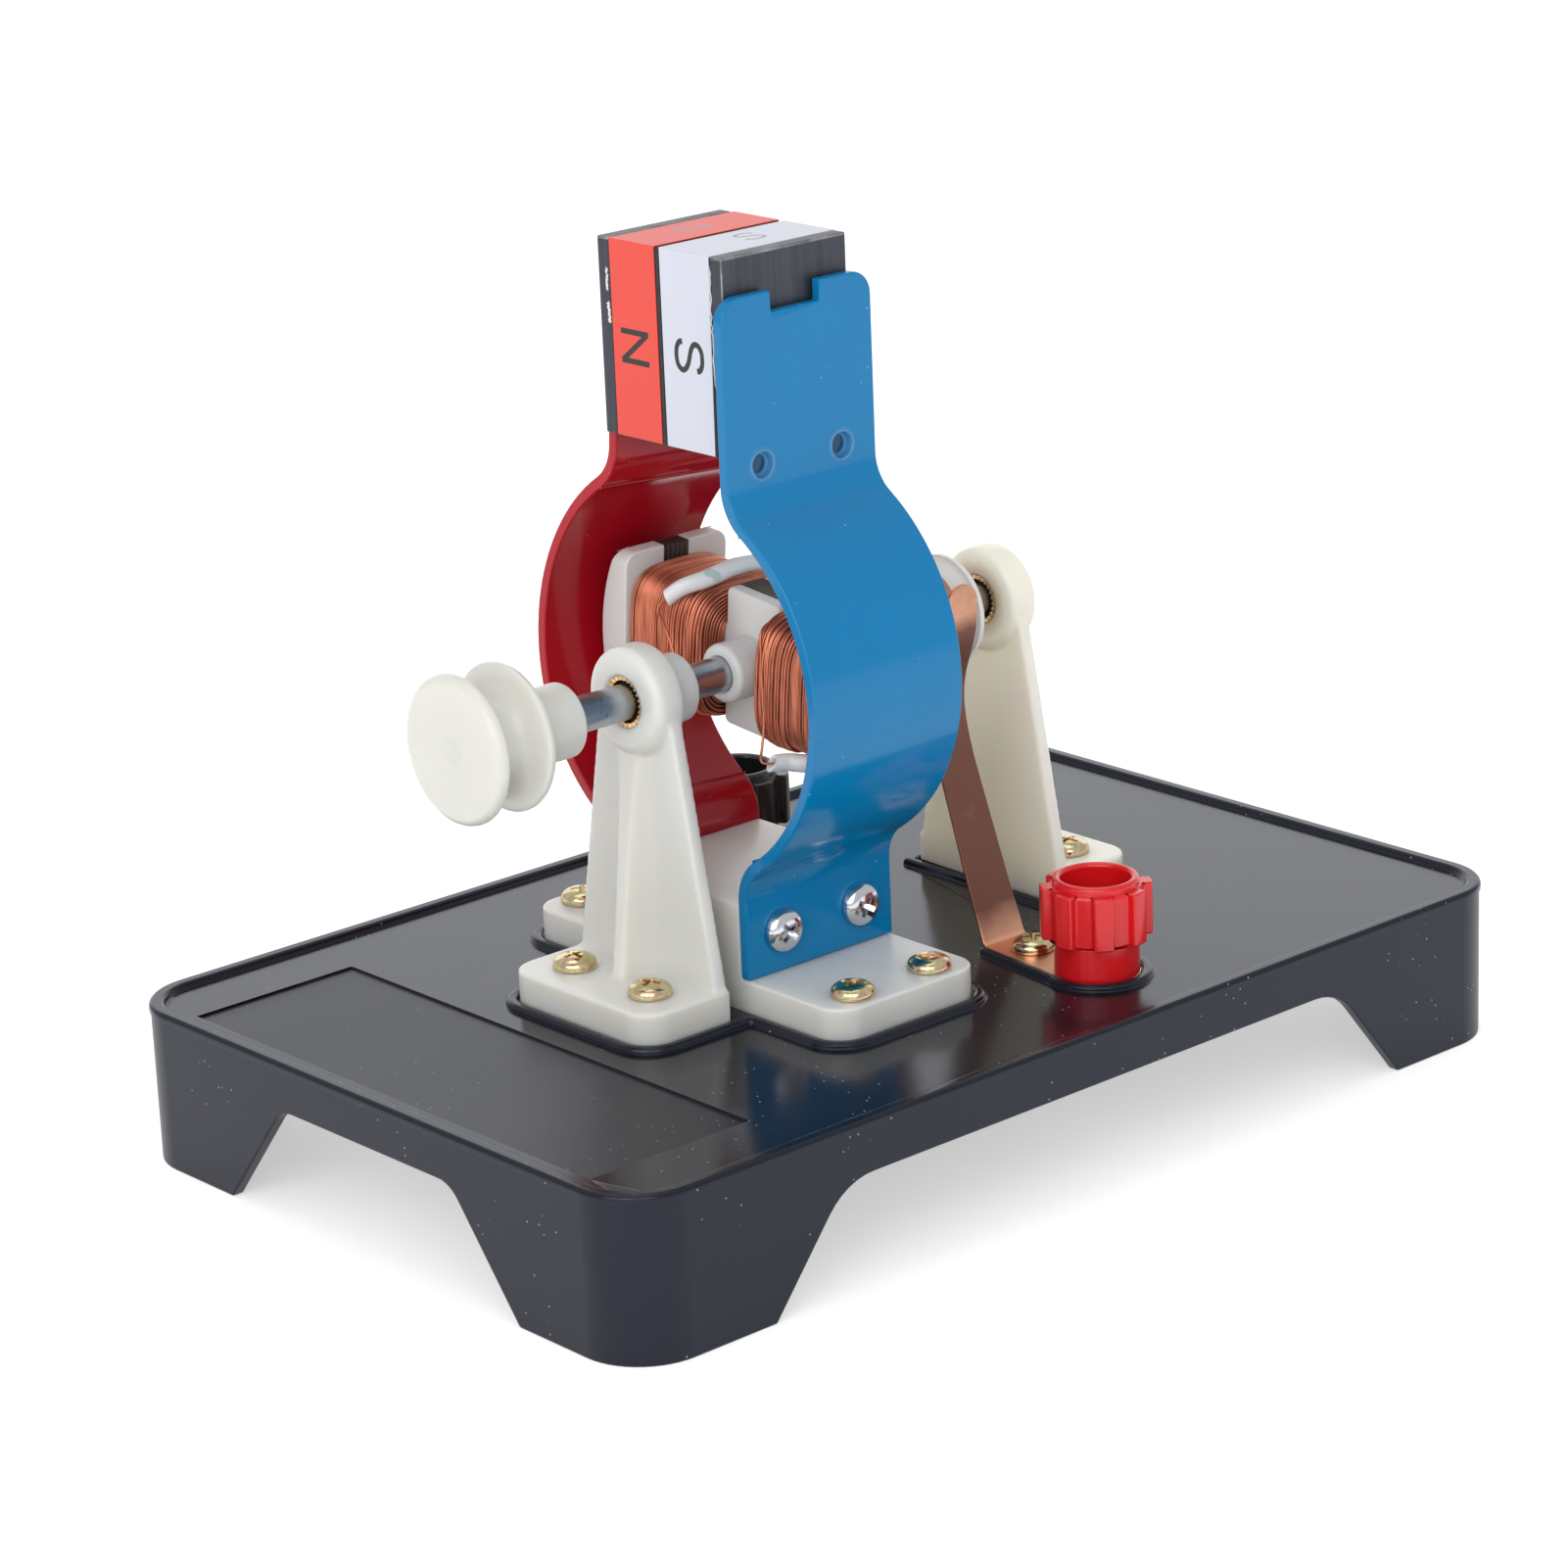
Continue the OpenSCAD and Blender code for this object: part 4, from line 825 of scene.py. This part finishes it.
def paint_rims():
    """Paint drawn up round the spare holes of both strips."""
    steps, rim_r, unevenness, proud, bead_r = 32, 2.42, 0.06, 0.06, 0.30
    for colour, holes in (("blue", BLUE_HOLES), ("red", RED_HOLES)):
        for n, (x, y, z) in enumerate(holes):
            ring = []
            for k in range(steps + 1):
                a = 2 * math.pi * k / steps
                r = rim_r + unevenness * math.sin(3 * a + n)
                ring.append((x + r * math.cos(a), y + math.copysign(proud, -y), z + r * math.sin(a)))
            wire("%s_rim_%d" % (colour, n), ring, bead_r, colour, STAND, 8)


# ---- coils and sleeves ----

def on_rotor(point, flip=False):
    """A point of the armature's own frame, at the angle at which the rotor stands."""
    x, y, z = point
    if flip:
        y, z = -y, -z
    c, s = math.cos(math.radians(ROTOR_TURN)), math.sin(math.radians(ROTOR_TURN))
    return (x, y * c - z * s, y * s + z * c + AXIS_Z)


def loop_point(angle, half_x, half_z, squareness):
    """A point of one turn: a square loop with round corners and slightly bowed sides."""
    c, s = math.cos(angle), math.sin(angle)
    p = 2.0 / squareness
    return (half_x * math.copysign(abs(c) ** p, c), half_z * math.copysign(abs(s) ** p, s))


def smooth_line(points, steps):
    """A smooth line through points."""
    line = []
    for i in range(len(points) - 1):
        a, b = Vector(points[max(i - 1, 0)]), Vector(points[i])
        c, d = Vector(points[i + 1]), Vector(points[min(i + 2, len(points) - 1)])
        for k in range(steps):
            t = k / steps
            line.append(tuple(0.5 * (2 * b + t * (c - a) + t * t * (2 * a - 5 * b + 4 * c - d)
                                     + t ** 3 * (3 * b - a - 3 * c + d))))
    line.append(tuple(points[-1]))
    return line


GAPS = (24.15, 18.3, 15.2)  # where the band of turns has a narrow gap
SQUARENESS = 3.9  # of a turn: 2 would be an ellipse
# name, half width and half height of a layer's turns, finish and sides of its wire; the under layer's finish is a
# darker copy of the wire, painted shade
LAYERS = (("band", 10.25, 10.75, "wire", 6), ("under", 9.92, 10.42, "wire_painted_shade", 4))


def one_turn(steps, closed=0):
    """The steps of one turn of wire from its lowest point: the part of the turn and the angle."""
    return [(k / steps, -math.pi / 2 - 2 * math.pi * (k / steps)) for k in range(steps + closed)]


def even_places():
    """Where the band's turns lie, from the shoe to the hub, with a few narrow gaps."""
    outer, inner, pitch, gap_width = 24.85, 7.1, 0.345, 0.40
    places = []
    y = outer
    while y > inner:
        places.append(y)
        y -= pitch
        if any(abs(y - gap) < 0.173 for gap in GAPS):
            y -= gap_width
    return places


def even_band(half_x, half_z, chance):
    """The line of the wire through the closely wound turns of one layer."""
    points = []
    places = even_places()
    for i, y in enumerate(places):
        nxt = places[min(i + 1, len(places) - 1)]
        wobble = chance.uniform(-0.03, 0.03)
        for part, angle in one_turn(44):
            x, z = loop_point(angle, half_x + wobble, half_z + wobble, SQUARENESS)
            points.append((ARM_X + x, y + (nxt - y) * part, z))
    return points


def sweep(x, z, half_x, half_z):
    """How much of the top's sweep towards the hub applies: none in front, most at the back of the top."""
    if z < half_z * 0.5:
        return 0.0
    return 0.5 + 0.5 * max(-1.0, min(1.0, x / half_x * 1.15))


def loose_strands(chance):
    """The last strands: apart from each other, bunched on top, then down the inner end."""
    half_x, half_z = 10.62, 11.12
    hub_y, nearest = 7.3, 6.74
    places = []
    y = 14.6
    while y > hub_y:
        places.append((y, chance.uniform(-0.02, 0.26), chance.uniform(0.08, 0.34)))
        y -= chance.uniform(0.44, 0.86)
    step_in = -0.15
    while step_in > -4.9:
        places.append((chance.uniform(6.76, 7.05), step_in, 0.05))
        step_in -= chance.uniform(0.50, 0.66)
    points = []
    for i, (y, lift, skew) in enumerate(places):
        nxt_y, nxt_lift = places[min(i + 1, len(places) - 1)][:2]
        phase = chance.uniform(0.0, 6.28)
        for part, angle in one_turn(48):
            now = lift + (nxt_lift - lift) * part
            x, z = loop_point(angle, half_x + now, half_z + now, SQUARENESS)
            across = y + (nxt_y - y) * part + skew * 0.6 * math.sin(angle + phase)
            if lift > -0.1:
                pull = sweep(x, z, half_x, half_z)
                across -= (y - 7.0) * 0.5 * pull
                z += 0.30 * pull * (1.0 + 0.5 * math.sin(phase))
            points.append((ARM_X + x, max(across, nearest), z))
    return points


def coil(name, node, seed, lead, flip):
    """A coil's visible wire: the band in two layers, the loose strands and the lead."""
    chance = random.Random(seed)

    def wound(part, line, radius, finish, sides, node=None):
        wire("%s_%s" % (name, part), [on_rotor(p, flip) for p in line], radius, finish, ROTOR,
             sides, node)

    for layer, half_x, half_z, finish, sides in LAYERS:
        wound(layer, even_band(half_x, half_z, chance), 0.17, finish, sides, node if layer == "band" else None)
    wound("loose", loose_strands(chance), 0.23, "wire", 7)
    wound("lead", smooth_line(lead, 7), 0.22, "wire", 8)


def coil_depth_painted_shade(name, node, flip):
    """What shows between the strands: the lower layers, a square ring round the core, in a darker copy of the
    wire as painted shade.
    """
    outer, inner, shoe_y, hub_y = (9.75, 10.25), (5.12, 5.22), 24.9, 7.25
    bm = bmesh.new()
    rings = []
    for (half_x, half_z), y in ((outer, shoe_y), (outer, hub_y), (inner, hub_y), (inner, shoe_y)):
        ring = []
        for a in around(48):
            x, z = loop_point(a, half_x, half_z, SQUARENESS)
            ring.append(bm.verts.new(Vector(on_rotor((ARM_X + x, y, z), flip)) * MM))
        rings.append(ring)
    join_rings(bm, rings + rings[:1])
    mesh_object(name, from_bmesh(bm, name, 40.0), "core", ROTOR, node)


def crossing_strands(name, seed, flip):
    """A few strands that cross over the others next to the hub."""
    half_x, half_z = 10.95, 11.45
    chance = random.Random(seed)
    for n in range(3):
        y0, y1 = chance.uniform(7.2, 9.0), chance.uniform(8.4, 11.6)
        line = []
        for part, angle in one_turn(44, closed=1):
            x, z = loop_point(angle, half_x + 0.08 * n, half_z + 0.08 * n, 3.6)
            line.append((ARM_X + x, y0 + (y1 - y0) * math.sin(math.pi * part) ** 2, z))
        wire(name + "_cross_%d" % n, [on_rotor(p, flip) for p in line], 0.18, "wire", ROTOR)


def heading(line, i):
    """The direction of a line at one of its points."""
    return (line[min(i + 1, len(line) - 1)] - line[max(i - 1, 0)]).normalized()


def sleeve(name, node, route):
    """Insulating tube with a bore, cut slantwise at its open mouth and a little out of round."""
    outer_r, bore_r, slant, sides = 1.45, 0.85, 0.7, 22
    line = [Vector(on_rotor(p)) for p in smooth_line(route, 7)]
    bm = bmesh.new()
    outer, bore = [], []
    side = Vector((0.1, 1.0, 0.2))
    for i, point in enumerate(line):
        ahead = heading(line, i)
        side = (side - ahead * side.dot(ahead)).normalized()
        other = ahead.cross(side)
        cut = (slant, slant * 0.45)[i] if i < 2 else 0.0
        for radius, rings in ((outer_r, outer), (bore_r, bore)):
            ring = []
            for a in around(sides):
                away = side * math.cos(a) + other * math.sin(a)
                squash = 1.0 - 0.05 * math.sin(2 * a + i * 0.2)
                spot = point + away * radius * squash + ahead * cut * math.sin(a)
                ring.append(bm.verts.new(spot * MM))
            rings.append(ring)
    for rings in (outer, bore, (outer[0], bore[0]), (outer[-1], bore[-1])):
        join_rings(bm, rings)
    mesh_object(name, from_bmesh(bm, name, 40.0), "tube", ROTOR, node)


# ---- pole marks, glue, bushes ----

def ribbon(bm, points, width, place, low, high):
    """A flat stroke of even width along a line in the plane, as a thin closed body."""
    left, right = [], []
    for i, (u, v) in enumerate(points):
        before, after = points[max(i - 1, 0)], points[min(i + 1, len(points) - 1)]
        du, dv = after[0] - before[0], after[1] - before[1]
        length = math.hypot(du, dv)
        nu, nv = -dv / length * width / 2, du / length * width / 2
        left.append((u + nu, v + nv))
        right.append((u - nu, v - nv))
    rows = []
    for height, side in ((high, left), (high, right), (low, right), (low, left)):
        rows.append([bm.verts.new(Vector(place(u, v, height)) * MM) for u, v in side])
    for a, b in zip(rows, rows[1:] + rows[:1]):
        for i in range(len(points) - 1):
            bm.faces.new((a[i], b[i], b[i + 1], a[i + 1]))
    for end in (0, -1):
        bm.faces.new([row[end] for row in rows])


N_STROKES = (
    [(-2.4, -3.4), (-2.4, 3.4)],
    [(-2.4, 3.15), (2.4, -3.15)],
    [(2.4, -3.4), (2.4, 3.4)],
)
S_STROKES = ([
    (2.15, 1.75), (1.95, 2.5), (1.1, 3.02), (0.0, 3.12), (-1.25, 2.9), (-2.1, 2.05), (-1.95, 1.05), (-0.9, 0.38),
    (0.7, -0.12), (1.9, -0.8), (2.35, -1.8), (1.65, -2.78), (0.3, -3.12), (-1.1, -3.0), (-2.05, -2.4),
    (-2.3, -1.6),
],)


def pole_mark(name, strokes, place, width, finish, scale=(1.0, 1.0)):
    """A pole letter in thin strokes. Each stroke lies a little lower than the one before."""
    bm = bmesh.new()
    for n, stroke in enumerate(strokes):
        line = stroke
        if len(stroke) > 2:
            line = [p[:2] for p in smooth_line([(a, b, 0.0) for a, b in stroke], 4)]
        line = [(a * scale[0], b * scale[1]) for a, b in line]
        ribbon(bm, line, width, place, -0.03, 0.006 - 0.0015 * n)
    mesh_object(name, from_bmesh(bm, name), finish, STACK)


def pole_marks():
    end_x, top_z = -30.6, 152.1

    def on_end(y, z):
        return lambda u, v, h: (end_x - h, y - v, z - u)

    def on_top(x, y):
        return lambda u, v, h: (x + u, y + v, top_z + h)

    pole_mark("mark_n_end", N_STROKES, on_end(6.56, 134.9), 0.95, "black_ink")
    pole_mark("mark_s_end", S_STROKES, on_end(-6.78, 135.3), 0.95, "black_ink")
    pole_mark("mark_n_top", N_STROKES, on_top(-17.1, 6.9), 0.6, "grey_ink", (1.0, 0.68))
    pole_mark("mark_s_top", S_STROKES, on_top(-15.9, -5.5), 0.6, "grey_ink", (0.8, 0.78))


def ragged_bead(name, points, radius, seed):
    """Squeezed-out glue: a lumpy bead along a line."""
    chance = random.Random(seed)
    line = [Vector(p) for p in smooth_line(points, 9)]
    bm = bmesh.new()
    rings = []
    for i, point in enumerate(line):
        ahead = heading(line, i)
        side = ahead.cross(Vector((1.0, 0.3, 0.1))).normalized()
        other = ahead.cross(side)
        taper = min(1.0, 0.25 + 0.4 * min(i, len(line) - 1 - i))
        size = radius * taper * chance.uniform(0.55, 1.25)
        drift = side * chance.uniform(-0.12, 0.12)
        ring = []
        for a in around(8):
            spot = point + drift + side * math.cos(a) * size + other * math.sin(a) * size * 0.7
            ring.append(bm.verts.new(spot * MM))
        rings.append(ring)
    join_rings(bm, rings)
    bm.faces.new(rings[0])
    bm.faces.new(rings[-1])
    mesh_object(name, from_bmesh(bm, name, 80.0), "glue", STACK)


def glue_lines():
    """White glue beside the outer plates, pressed out at the pulley end."""
    upper = [(-30.42, 13.0, 147.2), (-30.5, 12.9, 145.6), (-30.44, 13.05, 144.2), (-30.5, 12.85, 143.3)]
    lower = [(-30.46, 12.9, 141.6), (-30.52, 12.75, 140.3), (-30.54, 12.6, 138.9), (-30.44, 12.7, 138.0)]
    thin = [(-30.36, -12.45, 150.6), (-30.42, -12.4, 144.0), (-30.4, -12.45, 139.5), (-30.36, -12.4, 131.0)]
    ragged_bead("glue_upper", upper, 0.22, 4)
    ragged_bead("glue_lower", lower, 0.30, 9)
    ragged_bead("glue_near", thin, 0.11, 2)


def serrated_bush(node):
    """A pressed bush whose end faces have fine radial teeth and an eased bore."""
    sides, bore, lip, outer, tooth = 96, 3.05, 3.52, 4.34, 0.32
    along = [v.co.x / MM for v in NODES[node].data.vertices]
    bm = bmesh.new()
    rings = []

    def end_face(x, out):
        """Radius, place along the axis and rise of the teeth, from the bore to the rim."""
        root, rise = x - out * 0.16, out * tooth
        return [(bore, x - out * 1.5, 0.0), (lip, x - out * 1.2, 0.0), (lip, x - out * 0.2, 0.0),
                (lip + 0.1, root, rise), (outer - 0.08, root, rise), (outer, x - out * 0.25, 0.0)]

    for radius, x, rise in end_face(min(along), -1) + end_face(max(along), 1)[::-1]:
        ring = []
        for k, a in enumerate(around(sides)):
            at = x + (0.0 if (k // 2) % 2 else rise)
            ring.append(bm.verts.new((at * MM, radius * math.cos(a) * MM, (AXIS_Z + radius * math.sin(a)) * MM)))
        rings.append(ring)
    join_rings(bm, rings + rings[:1])
    mesh_object(node + "_serrated", from_bmesh(bm, node + "_serrated", 25.0), "bronze", STAND, node)


# ---- room, light and camera ----

def stage_plane():
    bm = bmesh.new()
    bmesh.ops.create_grid(bm, x_segments=1, y_segments=1, size=3.0)
    mesh = plain_mesh(bm, "floor")
    paint = Finish("pale_floor", Specular_IOR_Level=0.1, Emission_Color=(1.0, 1.0, 1.0),
                   Emission_Strength=FLOOR_GLOW)
    cloud = paint.noise(3.0, 1.0)
    paint.set(Base_Color=paint.blend(cloud, (0.80, 0.80, 0.805), (0.81, 0.81, 0.81)), Roughness=0.7)
    mesh.materials.append(paint.material)
    linked("floor", mesh)


def soft_light(name, place, size, watts):
    """A rectangular lamp that faces the middle of the motor."""
    data = bpy.data.lights.new(name, "AREA")
    data.shape = "RECTANGLE"
    data.size, data.size_y = size
    data.energy = watts
    lamp = linked(name, data)
    lamp.location = place
    lamp.rotation_euler = (Vector(MIDDLE) - Vector(place)).to_track_quat("-Z", "Y").to_euler()


FLOOR_GLOW = 0.50
AIR_COLOUR, AIR_STRENGTH = (0.965, 0.98, 1.0), 0.66
MIDDLE = (0.0, 0.0, 0.07)


def room():
    stage_plane()
    world = bpy.data.worlds.new("studio_air")
    world.use_nodes = True
    air = world.node_tree.nodes["Background"].inputs
    feed(world.node_tree, air["Color"], AIR_COLOUR)
    feed(world.node_tree, air["Strength"], AIR_STRENGTH)
    bpy.context.scene.world = world
    soft_light("key_box", (-1.2, -0.4, 0.7), (0.8, 0.8), 4.0)
    soft_light("front_box", (-0.85, -1.0, 0.8), (1.1, 1.1), 6.0)
    soft_light("top_box", (0.0, 0.2, 1.5), (0.9, 0.9), 3.0)
    soft_light("back_panel", (1.3, 1.5, 0.75), (3.0, 1.2), 8.0)
    bpy.context.scene.view_settings.view_transform = "Standard"


def photo_camera():
    """The camera solved from the photograph: its angles, its place and its focal length in pixels."""
    azimuth, elevation, roll = (math.radians(angle) for angle in (-41.08, 17.97, -2.345))
    place = (-0.50660, -0.57140, 0.30310)
    focal_pixels, photo_pixels, sensor_mm = 4864.0, 1601.0, 36.0
    level = math.cos(elevation)
    back = Vector((math.sin(azimuth) * level, -math.cos(azimuth) * level, math.sin(elevation)))
    right = Vector((math.cos(azimuth), math.sin(azimuth), 0.0))
    up = back.cross(right)
    turned_right = right * math.cos(roll) + up * math.sin(roll)
    turned_up = up * math.cos(roll) - right * math.sin(roll)
    data = bpy.data.cameras.new("photo_camera")
    data.sensor_width = sensor_mm
    data.lens = focal_pixels * sensor_mm / photo_pixels
    data.clip_start, data.clip_end = 0.01, 20.0
    camera = linked("photo_camera", data)
    rows = zip(turned_right, turned_up, back, place)
    camera.matrix_world = Matrix((*rows, (0.0, 0.0, 0.0, 1.0)))
    bpy.context.scene.camera = camera


photo_camera()
room()

# ---- the pieces ----

# nodes, width of the soft edge in mm, finish, body, slot, rows in the edge, a change of form, graded edges
SOFTENED = (
    ("base", 0.8, "base", STAND, "base_plastic", 3, None, base_edge),
    ("magnet_stand", 0.5, "cream", STAND, "cream_plastic", 3),
    ("blue_pole_strip", 0.35, "blue", STAND, "blue_paint", 3),
    ("red_pole_strip", 0.35, "red", STAND, "red_paint", 3),
    ("base_nuts", 0.22, "nut", STAND, "zinc_nut", 2),
    ("red_side_brush black_side_brush", 0.14, "leaf", STAND, "copper", 2, leaf_bow),
    ("red_terminal_collar", 0.3, "red_plastic", STAND, "red_plastic", 2),
    ("black_terminal_collar", 0.3, "black_plastic", STAND, "black_plastic", 2),
    ("terminal_studs", 0.15, "brass", STAND, "brass", 2),
    ("terminal_nuts", 0.22, "nut", STAND, "zinc_nut", 2),
    ("magnet_n magnet_s", 0.25, "ferrite", STACK, "magnet", 2),
    ("outer_plate_n outer_plate_s", 0.3, "plate", STACK, "dark_iron", 3, plate_flush),
    ("label_n", 0.09, "red_film", STACK, "red_film", 2, film_trimmed),
    ("label_s", 0.09, "white_film", STACK, "white_film", 2, film_trimmed),
    ("shaft", 0.3, "steel", ROTOR, "steel", 2),
    ("pulley", 0.2, "ivory", ROTOR, "pulley_plastic", 2),
    ("shaft_collar", 0.25, "cream", ROTOR, "cream_plastic", 2),
    ("armature_front armature_rear", 1.0, "white", ROTOR, "white_plastic", 3, None, armature_edge),
    ("laminations", 0.06, "iron", ROTOR, "lamination", 1),
    ("commutator_hub", 0.2, "white", ROTOR, "white_plastic", 2),
    ("segment_a segment_b", 0.12, "copper", ROTOR, "copper", 2),
    ("red_insert", 0.12, "brass", "red_lift", "brass", 1),
    ("black_insert", 0.12, "brass", "black_lift", "brass", 1),
    ("red_knob", 0.35, "red_plastic", "red_barrel", "red_plastic", 3, None, knob_edge),
    ("black_knob", 0.35, "black_plastic", "black_barrel", "black_plastic", 3, None, knob_edge),
)
for nodes, *how in SOFTENED:
    for node in nodes.split():
        softened(node, *how)

melted("front_post", 0.38, 5, "cream", STAND)
# the rear post in the lighter, painted-light copy of the cream, with its oil ring
melted("rear_post", 0.38, 5, "cream_oiled_painted_light", STAND)
serrated_bush("front_bush")
serrated_bush("rear_bush")
all_screws()

coil_depth_painted_shade("coil_a_depth", "coil_a", False)
coil_depth_painted_shade("coil_b_depth", "coil_b", True)
coil("coil_a_fine", "coil_a_turns", 21, LEAD_A, False)
coil("coil_b_fine", "coil_b_turns", 34, LEAD_B, True)
crossing_strands("coil_a", 5, False)
crossing_strands("coil_b", 6, True)
sleeve("sleeve_a_tube", "sleeve_a", SLEEVE_A)
sleeve("sleeve_b_tube", "sleeve_b", SLEEVE_B)

paint_rims()
pole_marks()
glue_lines()
